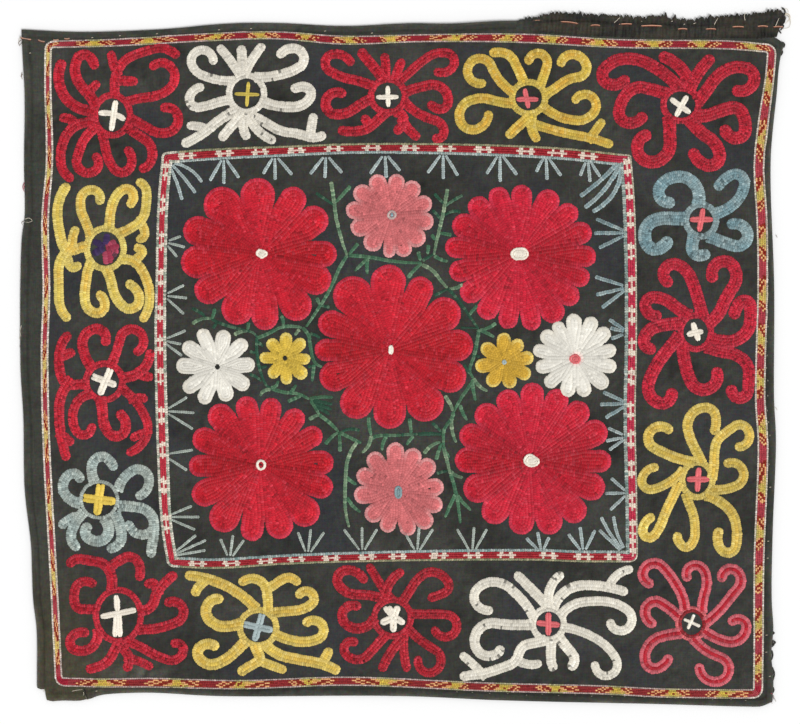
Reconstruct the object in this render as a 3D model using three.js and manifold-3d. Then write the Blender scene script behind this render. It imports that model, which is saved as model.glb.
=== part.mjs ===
// Embroidered chain stitch rug / panel, lying flat and face up.
// Millimetres, +Z up, +X to the right of the panel, +Y towards its heading edge.
//
// Four sewn pieces:
//   ground_cloth       dark cloth, its four edges folded under as a narrow hem,
//                      with one short tab at the lower left where the hem has come undone
//   outer_trim_band    narrow patterned trim, one closed ring near the edge
//   inner_trim_band    the same kind of trim round the middle field
//   heading_strip      coarse gathered strip tacked over the right half of the top edge

import * as THREE from 'three';
import * as BufferGeometryUtils from 'three/addons/utils/BufferGeometryUtils.js';
import Module from 'manifold-3d';

// ---------------------------------------------------------------- driving dimensions
const CLOTH_T = 1.0;          // thickness of the ground cloth
const LAYER_GAP = 0.3;        // air between two layers and between two pieces
const HEM_W = 3.2;            // width of the hem folded under
const HEM_SLOPE = 1.2;        // where the cloth comes back down to the surface
const TRIM_T = 1.0;           // thickness of both trims
const STRIP_T = 1.2;          // thickness of the heading strip
const TAB_T = 1.0;            // the undone bit of hem, one layer
const STEP = 12;              // spacing of the sections round a loop
const CORNER_CLOTH = 2.0;     // leg of the eased corner of the cloth
const CORNER_TRIM = 7.0;      // leg of the turned corner of a trim

// The flat tab of undone hem at the lower left.
const TAB = { x0: -269.3, x1: -238.4, yIn: -246.2, yOutLeft: -257.2, yOutRight: -256.3 };

// Half sizes that the hem's rings are drawn in by.
const HALF = { x: 281, y: 252 };

// ---------------------------------------------------------------- tables
// Each side runs from one corner to the next, anticlockwise from the top left.
// A row is one station where the side changes direction.
const table = (columns, lines) => lines.map((line) => Object.fromEntries(columns.map((c, i) => [c, line[i]])));

const CLOTH_CORNERS = table(['x', 'y'], [[-287.0, 246.1], [-275.2, -247.4], [275.8, -257.8], [284.7, 235.3]]);
const CLOTH_SIDES = {
  left: table(['x', 'y'], [
    [-286.0, 224.0], [-284.5, 197.0], [-285.1, 144.6], [-284.6, 107.0], [-286.8, 88.0],
    [-287.7, -5.4], [-285.4, -45.0], [-284.5, -99.1], [-279.8, -140.4], [-278.2, -181.6], [-275.5, -204.0],
  ]),
  bottom: table(['x', 'y'], [
    [-258.3, -249.3], [-247.0, -252.1], [-237.7, -255.6], [-228.3, -252.7], [-190.8, -251.0],
    [-140.0, -253.5], [-3.3, -253.4], [71.7, -256.6], [184.2, -259.3], [259.2, -261.4], [267.5, -261.2],
  ]),
  right: table(['x', 'y'], [
    [276.6, -240.9], [275.0, -223.0], [276.5, -202.6], [275.3, -181.6], [276.1, -129.1],
    [278.5, -61.6], [277.0, -30.0], [277.2, 50.9], [274.6, 148.4], [279.3, 200.9], [280.2, 213.5], [281.9, 225.6],
  ]),
  top: table(['x', 'y'], [
    [278.3, 239.9], [251.7, 246.5], [184.2, 250.0], [79.2, 252.6], [34.2, 250.4], [4.2, 250.7], [-44.5, 248.6],
    [-93.3, 250.8], [-130.0, 250.6], [-183.3, 246.2], [-243.3, 244.2],
  ]),
};

const OUTER_CORNERS = table(['x', 'y'], [[-267.3, 235.1], [-259.3, -242.9], [265.2, -252.0], [275.6, 232.0]]);
const OUTER_SIDES = {
  left: table(['x', 'y', 'w'], [
    [-267.5, 205.0, 5.6], [-266.3, 148.4, 5.8], [-269.5, 105.0, 6.0], [-268.6, 50.0, 6.0], [-269.9, 8.0, 6.0],
    [-268.6, -64.0, 6.0], [-264.0, -150.0, 6.0], [-260.4, -220.0, 6.0],
  ]),
  bottom: table(['x', 'y', 'w'], [
    [-228.0, -243.8, 6.9], [-190.8, -243.6, 7.3], [-123.3, -245.1, 7.2], [-40.8, -242.5, 7.0],
    [60.0, -246.7, 7.0], [150.0, -249.0, 7.0], [190.0, -251.2, 7.1], [235.0, -252.0, 7.2],
  ]),
  right: table(['x', 'y', 'w'], [
    [265.6, -215.0, 7.8], [266.0, -151.6, 8.3], [268.9, -65.0, 8.3], [266.8, -30.0, 8.1], [268.7, 55.0, 8.1],
    [268.0, 103.4, 8.3], [266.0, 145.0, 8.3], [269.4, 178.4, 8.3], [274.0, 212.0, 7.2],
  ]),
  top: table(['x', 'y', 'w'], [
    [245.0, 234.6, 7.0], [160.0, 235.8, 6.9], [90.5, 239.6, 7.2], [10.0, 239.7, 6.2], [-45.0, 238.3, 6.9],
    [-97.0, 242.0, 6.2], [-150.0, 240.4, 6.4], [-215.0, 236.6, 5.9],
  ]),
};

const INNER_CORNERS = table(['x', 'y'], [[-178.0, 150.2], [-174.1, -153.0], [170.7, -148.9], [165.8, 148.1]]);
const INNER_SIDES = {
  left: table(['x', 'y', 'w'], [
    [-181.0, 118.0, 8.2], [-182.6, 60.0, 8.2], [-183.1, 16.0, 8.8], [-181.5, -62.0, 9.1], [-178.6, -123.0, 8.4],
  ]),
  bottom: table(['x', 'y', 'w'], [
    [-142.8, -154.3, 8.0], [-85.0, -151.0, 7.8], [-10.8, -148.7, 8.2], [96.5, -147.7, 8.8], [132.5, -148.9, 8.9],
  ]),
  right: table(['x', 'y', 'w'], [
    [170.1, -105.0, 9.0], [168.9, -40.0, 9.2], [169.8, 5.0, 9.2], [169.6, 70.0, 9.2], [168.0, 121.0, 9.2],
  ]),
  top: table(['x', 'y', 'w'], [
    [120.5, 152.9, 9.1], [60.0, 156.0, 8.8], [-29.5, 157.2, 8.0], [-90.0, 155.0, 8.2], [-140.0, 152.8, 8.8],
  ]),
};

// The strip's two long edges, left to right; its right end is cut ragged and slants in.
const STRIP_ROWS = table(['x', 'top', 'low'], [
  [84.5, 254.4, 244.5], [101.7, 256.4, 243.6], [113.7, 258.6, 243.2], [143.0, 257.5, 241.6], [176.7, 255.5, 240.3],
  [194.0, 256.3, 240.0], [212.7, 253.0, 239.8], [233.7, 255.8, 240.2], [268.2, 258.6, 239.6], [279.6, 261.3, 241.2],
  [281.4, 261.2, 247.4], [285.8, 256.8, 252.0],
]);

// ---------------------------------------------------------------- helpers
const lerp = (a, b, t) => a + (b - a) * t;

// Smooth curve through the rows between two corners, sampled about every STEP.
function sideStations(from, rows, to, leg) {
  const ends = (a, b) => {
    const d = Math.hypot(b.x - a.x, b.y - a.y);
    return { x: a.x + (b.x - a.x) * leg / d, y: a.y + (b.y - a.y) * leg / d, w: b.w };
  };
  const knots = [ends(from, rows[0]), ...rows, ends(to, rows[rows.length - 1])];
  const curve = new THREE.CatmullRomCurve3(knots.map((k) => new THREE.Vector3(k.x, k.y, k.w ?? 0)), false, 'centripetal');
  const count = Math.max(4, Math.round(curve.getLength() / STEP));
  return curve.getSpacedPoints(count).map((p) => ({ x: p.x, y: p.y, w: p.z }));
}

// A closed loop: four sides joined by four eased corners.
function loop(corners, sides, leg) {
  const names = ['left', 'bottom', 'right', 'top'];
  const stations = [];
  names.forEach((name, i) => {
    const from = corners[i];
    const to = corners[(i + 1) % 4];
    const side = sideStations(from, sides[name], to, leg);
    stations.push(...side);
    const nextRows = sides[names[(i + 1) % 4]];
    const d = Math.hypot(nextRows[0].x - to.x, nextRows[0].y - to.y);
    const a = side[side.length - 1];
    const b = { x: to.x + (nextRows[0].x - to.x) * leg / d, y: to.y + (nextRows[0].y - to.y) * leg / d, w: nextRows[0].w ?? 0 };
    for (const t of [0.25, 0.5, 0.75]) {
      const p = lerp(lerp(a.x, to.x, t), lerp(to.x, b.x, t), t);
      const q = lerp(lerp(a.y, to.y, t), lerp(to.y, b.y, t), t);
      stations.push({ x: p, y: q, w: lerp(a.w, b.w, t) });
    }
  });
  return stations;
}

// Distance from a point to the closed outline, positive inside it.
function depthInside(x, y, outline) {
  let best = Infinity;
  let inside = false;
  for (let i = 0, j = outline.length - 1; i < outline.length; j = i++) {
    const a = outline[j];
    const b = outline[i];
    const t = Math.max(0, Math.min(1, ((x - a.x) * (b.x - a.x) + (y - a.y) * (b.y - a.y)) / ((b.x - a.x) ** 2 + (b.y - a.y) ** 2)));
    best = Math.min(best, Math.hypot(x - lerp(a.x, b.x, t), y - lerp(a.y, b.y, t)));
    if ((a.y > y) !== (b.y > y) && x < a.x + (b.x - a.x) * (y - a.y) / (b.y - a.y)) inside = !inside;
  }
  return inside ? best : -best;
}

// Height of the cloth's upper face at a depth in from its edge.
const HEM_TOP = 2 * CLOTH_T + LAYER_GAP;
function clothTop(depth) {
  if (depth < -0.2) return 0;
  const flat = HEM_W + 2 * LAYER_GAP + HEM_SLOPE;
  if (depth <= flat - HEM_SLOPE) return HEM_TOP;
  if (depth >= flat) return CLOTH_T;
  return lerp(HEM_TOP, CLOTH_T, (depth - flat + HEM_SLOPE) / HEM_SLOPE);
}

// Mesh from rings of points: walls between successive rings, closed on itself
// or with flat caps on its first and last ring.
function fromRings(rings, closed) {
  const n = rings[0].length;
  const position = rings.flat().flatMap((p) => [p.x, p.y, p.z]);
  const index = [];
  const last = closed ? rings.length : rings.length - 1;
  for (let r = 0; r < last; r++) {
    const s = (r + 1) % rings.length;
    for (let i = 0; i < n; i++) {
      const j = (i + 1) % n;
      index.push(r * n + i, r * n + j, s * n + j, r * n + i, s * n + j, s * n + i);
    }
  }
  if (!closed) {
    for (const [r, flip] of [[0, true], [rings.length - 1, false]]) {
      const flat = rings[r].map((p) => new THREE.Vector2(p.x, p.y));
      for (const [a, b, c] of THREE.ShapeUtils.triangulateShape(flat, [])) {
        index.push(...(flip ? [r * n + a, r * n + c, r * n + b] : [r * n + a, r * n + b, r * n + c]));
      }
    }
  }
  return outward(position, index);
}

// Indexed geometry whose faces point out.
function outward(position, index) {
  let volume = 0;
  for (let i = 0; i < index.length; i += 3) {
    const [a, b, c] = [index[i], index[i + 1], index[i + 2]].map((k) => new THREE.Vector3().fromArray(position, 3 * k));
    volume += a.dot(b.cross(c)) / 6;
  }
  if (volume < 0) for (let i = 0; i < index.length; i += 3) [index[i + 1], index[i + 2]] = [index[i + 2], index[i + 1]];
  const geometry = new THREE.BufferGeometry();
  geometry.setAttribute('position', new THREE.Float32BufferAttribute(position, 3));
  geometry.setIndex(index);
  geometry.computeVertexNormals();
  return geometry;
}

// ---------------------------------------------------------------- the pieces
// Ground cloth: the field lies on the surface, rises over its own hem, turns at
// the edge and comes back under as the hem's allowance.
function groundCloth(outline) {
  const inner = HEM_W + 2 * LAYER_GAP;
  const section = table(['d', 'z'], [
    [inner + HEM_SLOPE, CLOTH_T],               // field, upper face
    [inner, HEM_TOP],                           // top of the slope
    [0.5, HEM_TOP],                             // fold
    [0.0, HEM_TOP - 0.55],
    [0.0, 0.55],
    [0.5, 0.0],
    [HEM_W, 0.0],                               // raw edge of the hem
    [HEM_W, CLOTH_T],
    [CLOTH_T, CLOTH_T],                         // inside of the fold
    [CLOTH_T, CLOTH_T + LAYER_GAP],
    [HEM_W + LAYER_GAP, CLOTH_T + LAYER_GAP],   // underside of the slope
    [HEM_W + LAYER_GAP + HEM_SLOPE, 0.0],       // field, lower face
  ]);
  const rings = section.map(({ d, z }) => outline.map((p) => ({
    x: p.x * (1 - d / HALF.x), y: p.y * (1 - d / HALF.y), z,
  })));
  return fromRings(rings, false);
}

// Tab: one flat layer, wedged under the fold and reaching out past it.
function tab() {
  const shape = new THREE.Shape([
    new THREE.Vector2(TAB.x0, TAB.yIn), new THREE.Vector2(TAB.x0 + 0.6, TAB.yOutLeft + 0.7),
    new THREE.Vector2(TAB.x0 + 1.6, TAB.yOutLeft), new THREE.Vector2(TAB.x1 - 2.4, TAB.yOutRight - 0.6),
    new THREE.Vector2(TAB.x1, TAB.yOutRight + 0.4), new THREE.Vector2(TAB.x1 - 0.4, TAB.yIn),
  ]);
  const geometry = new THREE.ExtrudeGeometry(shape, { depth: TAB_T, bevelEnabled: false });
  geometry.deleteAttribute('normal');
  geometry.deleteAttribute('uv');
  return BufferGeometryUtils.mergeVertices(geometry, 1e-4);
}

// Trim: a flat band that lies on the cloth and lifts where it meets the hem.
function trimBand(centre, outline) {
  const count = centre.length;
  const low = CLOTH_T + LAYER_GAP;
  const edges = centre.map((p, i) => {
    const a = centre[(i + count - 1) % count];
    const b = centre[(i + 1) % count];
    const ta = new THREE.Vector2(p.x - a.x, p.y - a.y).normalize();
    const tb = new THREE.Vector2(b.x - p.x, b.y - p.y).normalize();
    const t = ta.clone().add(tb).normalize();
    const half = p.w / 2 / Math.max(0.8, t.dot(ta));
    const inn = { x: p.x - t.y * half, y: p.y + t.x * half };
    const out = { x: p.x + t.y * half, y: p.y - t.x * half };
    // The chord from the inner edge clears the cloth all the way across.
    let rise = low;
    for (let s = 0.05; s <= 1.001; s += 0.05) {
      const depth = depthInside(lerp(inn.x, out.x, s), lerp(inn.y, out.y, s), outline);
      rise = Math.max(rise, low + (clothTop(depth - 1.2) + LAYER_GAP - low) / s);
    }
    return { inn, out, rise };
  });
  const rings = [[], [], [], []];
  edges.forEach(({ inn, out }, i) => {
    const near = [-1, 0, 1].map((k) => edges[(i + k + count) % count].rise);
    const rise = Math.max(...near);
    rings[0].push({ ...inn, z: low });
    rings[1].push({ ...out, z: rise });
    rings[2].push({ ...out, z: rise + TRIM_T });
    rings[3].push({ ...inn, z: low + TRIM_T });
  });
  return fromRings(rings, true);
}

// Heading strip: lies on the cloth at its lower edge, climbs over the hem and
// hangs past the cloth's edge nearly down to the surface.
function headingStrip(outline) {
  const columns = 7;
  const length = STRIP_ROWS[STRIP_ROWS.length - 1].x - STRIP_ROWS[0].x;
  const curve = (key) => new THREE.CatmullRomCurve3(STRIP_ROWS.map((r) => new THREE.Vector3(r.x, r[key], 0)), false, 'centripetal');
  const edges = { top: curve('top'), low: curve('low') };
  const count = Math.round(length / 5);
  const under = [];
  for (let i = 0; i <= count; i++) {
    const top = edges.top.getPoint(i / count);
    const low = edges.low.getPoint(i / count);
    const row = [];
    for (let c = 0; c < columns; c++) {
      const t = c / (columns - 1);
      row.push({ x: lerp(low.x, top.x, t), y: lerp(low.y, top.y, t) });
    }
    // Each point clears the highest cloth within reach of its neighbours.
    row.forEach((p, c) => {
      let high = 0;
      for (let s = -1; s <= 1.001; s += 0.25) {
        const q = row[Math.max(0, Math.min(columns - 1, c + Math.sign(s)))];
        for (const dx of [-5, -2.5, 0, 2.5, 5]) {
          high = Math.max(high, clothTop(depthInside(lerp(p.x, q.x, Math.abs(s)) + dx, lerp(p.y, q.y, Math.abs(s)), outline)));
        }
      }
      p.z = high + LAYER_GAP + 0.05;
    });
    under.push(row);
  }
  // Ring round each cross-section: along the underside, back along the upper face.
  const rings = under.map((row) => [
    ...row.map((p) => ({ ...p })),
    ...row.slice().reverse().map((p) => ({ ...p, z: p.z + STRIP_T })),
  ]);
  const n = rings[0].length;
  const position = rings.flat().flatMap((p) => [p.x, p.y, p.z]);
  const index = [];
  for (let r = 0; r < rings.length - 1; r++) {
    for (let i = 0; i < n; i++) {
      const j = (i + 1) % n;
      index.push(r * n + i, (r + 1) * n + j, r * n + j, r * n + i, (r + 1) * n + i, (r + 1) * n + j);
    }
  }
  for (const [r, flip] of [[0, false], [rings.length - 1, true]]) {
    for (let c = 0; c < columns - 1; c++) {
      const [a, b, d, e] = [r * n + c, r * n + c + 1, r * n + (n - 2 - c), r * n + (n - 1 - c)];
      index.push(...(flip ? [a, d, b, a, e, d] : [a, b, d, a, d, e]));
    }
  }
  return outward(position, index);
}

// ---------------------------------------------------------------- joining
const wasm = await Module();
wasm.setup();
const solid = (geometry) => new wasm.Manifold(new wasm.Mesh({
  numProp: 3,
  vertProperties: new Float32Array(geometry.attributes.position.array),
  triVerts: new Uint32Array(geometry.index.array),
}));
function geometryOf(manifold) {
  const mesh = manifold.getMesh();
  const geometry = new THREE.BufferGeometry();
  geometry.setAttribute('position', new THREE.Float32BufferAttribute(Array.from(mesh.vertProperties), 3));
  geometry.setIndex(Array.from(mesh.triVerts));
  geometry.computeVertexNormals();
  return geometry;
}

const clothOutline = loop(CLOTH_CORNERS, CLOTH_SIDES, CORNER_CLOTH);
const ground = geometryOf(solid(groundCloth(clothOutline)).add(solid(tab())));
const outerTrim = trimBand(loop(OUTER_CORNERS, OUTER_SIDES, CORNER_TRIM), clothOutline);
const innerTrim = trimBand(loop(INNER_CORNERS, INNER_SIDES, CORNER_TRIM), clothOutline);
const strip = headingStrip(clothOutline);

// ---------------------------------------------------------------- the group
const rug = new THREE.Group();
const piece = (name, geometry, color, roughness) => {
  const mesh = new THREE.Mesh(geometry, new THREE.MeshStandardMaterial({ color, roughness, metalness: 0 }));
  mesh.name = name;
  rug.add(mesh);
  return mesh;
};
piece('ground_cloth', ground, 0x3a3c36, 0.92);
piece('outer_trim_band', outerTrim, 0xb5432f, 0.75);
piece('inner_trim_band', innerTrim, 0xb03a3c, 0.75);
piece('heading_strip', strip, 0x2f302c, 0.95);

// Origin at the middle of the bottom of the box round all pieces.
const box = new THREE.Box3().setFromObject(rug);
const shift = new THREE.Vector3(-(box.min.x + box.max.x) / 2, -(box.min.y + box.max.y) / 2, -box.min.z);
rug.children.forEach((mesh) => mesh.position.copy(shift));
rug.updateMatrixWorld(true);

export default rug;
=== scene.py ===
import bpy, math
import numpy as np
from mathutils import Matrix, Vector


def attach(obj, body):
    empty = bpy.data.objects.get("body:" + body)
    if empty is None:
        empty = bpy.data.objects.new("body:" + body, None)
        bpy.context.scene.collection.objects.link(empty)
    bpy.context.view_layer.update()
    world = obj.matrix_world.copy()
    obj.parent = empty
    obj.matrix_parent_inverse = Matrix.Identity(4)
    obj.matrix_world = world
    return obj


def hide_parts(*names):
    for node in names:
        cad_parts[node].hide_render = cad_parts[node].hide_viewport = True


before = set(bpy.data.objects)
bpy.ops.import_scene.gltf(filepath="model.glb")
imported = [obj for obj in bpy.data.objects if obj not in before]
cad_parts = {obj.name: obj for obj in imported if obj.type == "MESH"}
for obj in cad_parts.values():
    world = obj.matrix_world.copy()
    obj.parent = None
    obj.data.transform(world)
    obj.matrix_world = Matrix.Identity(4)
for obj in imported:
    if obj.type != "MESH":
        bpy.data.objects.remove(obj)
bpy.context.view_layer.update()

# Every table below is in millimetres, from the same origin as part.mjs; SHIFT takes it to the shared frame.
SHIFT = (1.098, 0.035)

# ---------------------------------------------------------------- camera, light, floor
scene = bpy.context.scene
cam_data = bpy.data.cameras.new("camera")
cam_data.sensor_width = 36.0
cam_data.lens = 90.0
cam_data.clip_start, cam_data.clip_end = 0.05, 20.0
cam = bpy.data.objects.new("camera", cam_data)
scene.collection.objects.link(cam)
cam.location = (-0.0022, -0.0031, 1.502)
cam.rotation_euler = (0, 0, 0)
scene.camera = cam
scene.view_settings.view_transform = "Standard"

world = bpy.data.worlds.new("studio")
world.use_nodes = True
world.node_tree.nodes["Background"].inputs["Color"].default_value = (1.0, 1.0, 1.0, 1)
world.node_tree.nodes["Background"].inputs["Strength"].default_value = 0.66
scene.world = world
sun_data = bpy.data.lights.new("key", "SUN")
sun_data.energy, sun_data.angle = 1.7, math.radians(22)
sun = bpy.data.objects.new("key", sun_data)
sun.rotation_euler = (math.radians(38), 0, math.radians(38))
scene.collection.objects.link(sun)

# ---------------------------------------------------------------- tables: outlines
# Corners and sides run anticlockwise from the top left. Columns: x, y, and width for the trims.
CLOTH = {
    "corners": [(-287.0, 246.1), (-275.2, -247.4), (275.8, -257.8), (284.7, 235.3)],
    "left": [(-286.0, 224.0), (-284.5, 197.0), (-285.1, 144.6), (-284.6, 107.0), (-286.8, 88.0),
             (-287.7, -5.4), (-285.4, -45.0), (-284.5, -99.1), (-279.8, -140.4), (-278.2, -181.6), (-275.5, -204.0)],
    "bottom": [(-272.6, -248.4), (-269.9, -248.3), (-269.3, -249.0), (-268.6, -255.4), (-267.6, -257.2), (-265.4, -257.5),
               (-257.6, -256.9), (-242.7, -256.9), (-239.3, -256.0), (-237.7, -256.2), (-233.6, -254.7), (-229.4, -253.1),
               (-220.8, -251.9), (-190.8, -251.0),
               (-140.0, -253.5), (-3.3, -253.4), (71.7, -256.6), (184.2, -259.3), (259.2, -261.4), (267.5, -261.2)],
    "right": [(276.6, -240.9), (275.0, -223.0), (276.5, -202.6), (275.3, -181.6), (276.1, -129.1),
              (278.5, -61.6), (277.0, -30.0), (277.2, 50.9), (274.6, 148.4), (279.3, 200.9), (280.2, 213.5), (281.9, 225.6)],
    "top": [(278.3, 239.9), (251.7, 246.5), (184.2, 250.0), (79.2, 252.6), (34.2, 250.4), (4.2, 250.7), (-44.5, 248.6),
            (-93.3, 250.8), (-130.0, 250.6), (-183.3, 246.2), (-243.3, 244.2)],
}
OUTER = {
    "corners": [(-267.3, 235.1), (-259.3, -242.9), (265.2, -252.0), (275.6, 232.0)],
    "left": [(-267.5, 205.0, 5.6), (-266.3, 148.4, 5.8), (-269.5, 105.0, 6.0), (-268.6, 50.0, 6.0), (-269.9, 8.0, 6.0),
             (-268.6, -64.0, 6.0), (-264.0, -150.0, 6.0), (-260.4, -220.0, 6.0)],
    "bottom": [(-228.0, -243.8, 6.9), (-190.8, -243.6, 7.3), (-123.3, -245.1, 7.2), (-40.8, -242.5, 7.0),
               (60.0, -246.7, 7.0), (150.0, -249.0, 7.0), (190.0, -251.2, 7.1), (235.0, -252.0, 7.2)],
    "right": [(265.6, -215.0, 7.8), (266.0, -151.6, 8.3), (268.9, -65.0, 8.3), (266.8, -30.0, 8.1), (268.7, 55.0, 8.1),
              (268.0, 103.4, 8.3), (266.0, 145.0, 8.3), (269.4, 178.4, 8.3), (274.0, 212.0, 7.2)],
    "top": [(245.0, 234.6, 7.0), (160.0, 235.8, 6.9), (90.5, 239.6, 7.2), (10.0, 239.7, 6.2), (-45.0, 238.3, 6.9),
            (-97.0, 242.0, 6.2), (-150.0, 240.4, 6.4), (-215.0, 236.6, 5.9)],
}
INNER = {
    "corners": [(-178.0, 150.2), (-174.1, -153.0), (170.7, -148.9), (165.8, 148.1)],
    "left": [(-181.0, 118.0, 8.2), (-182.6, 60.0, 8.2), (-183.1, 16.0, 8.8), (-181.5, -62.0, 9.1), (-178.6, -123.0, 8.4)],
    "bottom": [(-142.8, -154.3, 8.0), (-85.0, -151.0, 7.8), (-10.8, -148.7, 8.2), (96.5, -147.7, 8.8), (132.5, -148.9, 8.9)],
    "right": [(170.1, -105.0, 9.0), (168.9, -40.0, 9.2), (169.8, 5.0, 9.2), (169.6, 70.0, 9.2), (168.0, 121.0, 9.2)],
    "top": [(120.5, 152.9, 9.1), (60.0, 156.0, 8.8), (-29.5, 157.2, 8.0), (-90.0, 155.0, 8.2), (-140.0, 152.8, 8.8)],
}
# The heading strip's long edges, left to right: x, upper edge, lower edge.
STRIP = [(84.5, 252.9, 244.5), (92.0, 254.6, 244.0), (101.7, 256.4, 243.6), (113.7, 258.6, 243.2), (143.0, 257.5, 241.6), (176.7, 255.5, 240.3),
         (194.0, 256.3, 240.0), (212.7, 253.0, 239.8), (233.7, 255.8, 240.2), (268.2, 258.6, 239.6), (279.6, 261.3, 241.2),
         (281.4, 261.2, 247.4), (285.8, 256.8, 252.0)]

# Middles of the outer trim's blocks: x on the top and bottom, y on the sides.
OUTER_BLOCKS = """
    top crimson -253 -212 -165 -123 -87 -61 -24 10 60 93 127 166 207 243
    top yellow -232 -192 -141 -108 -74 -41 -10 39 78 111 146 187 222 261
    left crimson 204 164 115 68 18 -34 -86 -138 -187 -239
    left yellow 226 186 139 89 41 -5 -58 -112 -164 -216
    bottom crimson -252 -201 -147 -93 -45 11 53 93 138 177 220 261
    bottom yellow -227 -171 -123 -72 -15 38 74 113 159 201 239
    right crimson 225 185 142 106 67 31 -3 -36 -71 -114 -149 -181 -216 -251
    right yellow 203 163 122 87 46 13 -18 -53 -98 -132 -166 -200 -234
"""
# Middles of the inner trim's paired white crosses.
INNER_BLOCKS = """
    top -164 -135 -108 -81 -53 -24 4 31 60 91 115 138
    bottom -155 -130 -104 -81 -55 -28 -5 26 52 76 108 134 157
    left 141 115 88 60 34 10 -14 -43 -69 -96 -124
    right 143 125 104 80 55 32 8 -14 -39 -61 -83 -107 -128 -141
"""
# Flowers: name and middle, then petals as angle, reach, width.
FLOWERS = """
@ red_nw -107.0 77.8
    94 57.0 25.5   60 56.7 19.5   33 57.2 21.8   0 56.1 19.2   -25 56.2 22.9   -56 57.8 23.2
    -87 56.8 19.5   -114 56.6 24.0   -146 58.5 21.0   -173 60.8 24.0   160 61.9 22.1   129 60.8 27.5
@ red_ne 86.4 77.9
    88 51.8 15.0   62 53.6 17.2   40 54.8 15.4   19 56.6 16.5   -2 57.0 15.8   -21 55.5 14.8
    -40 56.2 15.6   -60 58.3 18.0   -80 57.8 14.2   -100 56.8 14.2   -120 55.5 15.6   -142 54.4 16.5
    -164 54.4 15.8   174 55.9 15.3   153 55.5 18.5   131 54.4 16.5   110 52.9 15.0
@ red_sw -107.5 -80.2
    104 52.5 16.1   80 50.7 15.2   54 50.2 15.8   29 51.4 15.5   2 54.2 17.8   -20 56.6 17.8
    -47 59.2 22.5   -73 57.4 20.1   -98 57.4 16.6   -125 59.2 22.5   -153 57.0 19.5   -179 54.0 15.8
    156 55.5 18.0   130 56.7 19.0
@ red_se 95.0 -77.5
    89 58.7 17.2   67 58.0 17.2   46 59.2 18.0   24 61.9 19.5   -0 60.0 16.5   -23 59.2 20.2
    -49 58.3 19.2   -73 56.8 19.4   -99 55.3 18.7   -126 55.9 20.2   -153 55.5 21.3   179 57.0 18.7
    157 57.5 18.5   134 56.8 18.8   111 56.8 17.5
@ red_mid -10.2 5.9
    92 63.8 26.2   64 59.8 19.3   34 60.6 25.0   4 61.7 23.2   -24 60.6 24.2   -57 61.1 28.0
    -91 58.9 24.0   -123 59.2 24.4   -155 57.8 22.2   -180 57.0 16.3   156 58.5 19.5   125 64.2 29.6
@ pink_top -9.4 107.2
    82 30.9 11.8   52 30.9 13.1   19 31.4 12.7   -11 31.7 13.4   -43 31.9 14.1   -71 32.9 11.8
    -94 31.9 9.0   -125 31.7 14.0   -159 32.6 13.8   173 34.7 13.0   144 34.1 13.4   114 32.6 12.8
@ pink_bottom -4.6 -100.8
    94 37.4 13.0   68 35.2 13.0   41 35.2 13.6   8 34.2 13.0   -19 34.7 12.9   -47 35.4 13.4
    -75 33.4 12.1   -108 31.4 11.6   -139 31.1 13.1   -176 33.2 13.5   154 34.1 13.0   126 35.9 13.0
@ white_left -140.1 -6.8
    79 28.0 11.1   43 28.8 10.4   4 27.8 11.1   -34 27.8 11.1   -73 26.7 11.3   -113 29.7 10.4
    -145 30.8 10.5   178 31.0 11.5   146 30.8 11.1   114 30.8 9.8
@ white_right 128.6 -0.9
    93 33.8 10.9   67 33.8 10.6   42 33.2 10.6   14 30.8 9.8   -12 30.8 10.1   -42 31.3 11.4
    -75 28.9 10.6   -105 28.9 10.6   -138 30.0 9.8   -167 30.5 10.2   167 32.6 9.5   142 32.2 10.9
    119 31.5 9.4
@ yellow_left -89.5 -0.4
    87 19.3 8.9   44 20.0 9.0   -2 18.9 8.1   -43 21.0 9.8   -86 19.4 8.2   -129 18.2 8.6
    178 19.1 8.1   132 18.7 8.9
@ yellow_right 74.9 -3.4
    91 22.1 10.3   52 21.0 9.8   11 22.3 9.8   -29 22.1 10.1   -74 19.8 10.5   -122 20.9 10.5
    -171 21.8 10.5   141 21.2 10.5
"""
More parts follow.
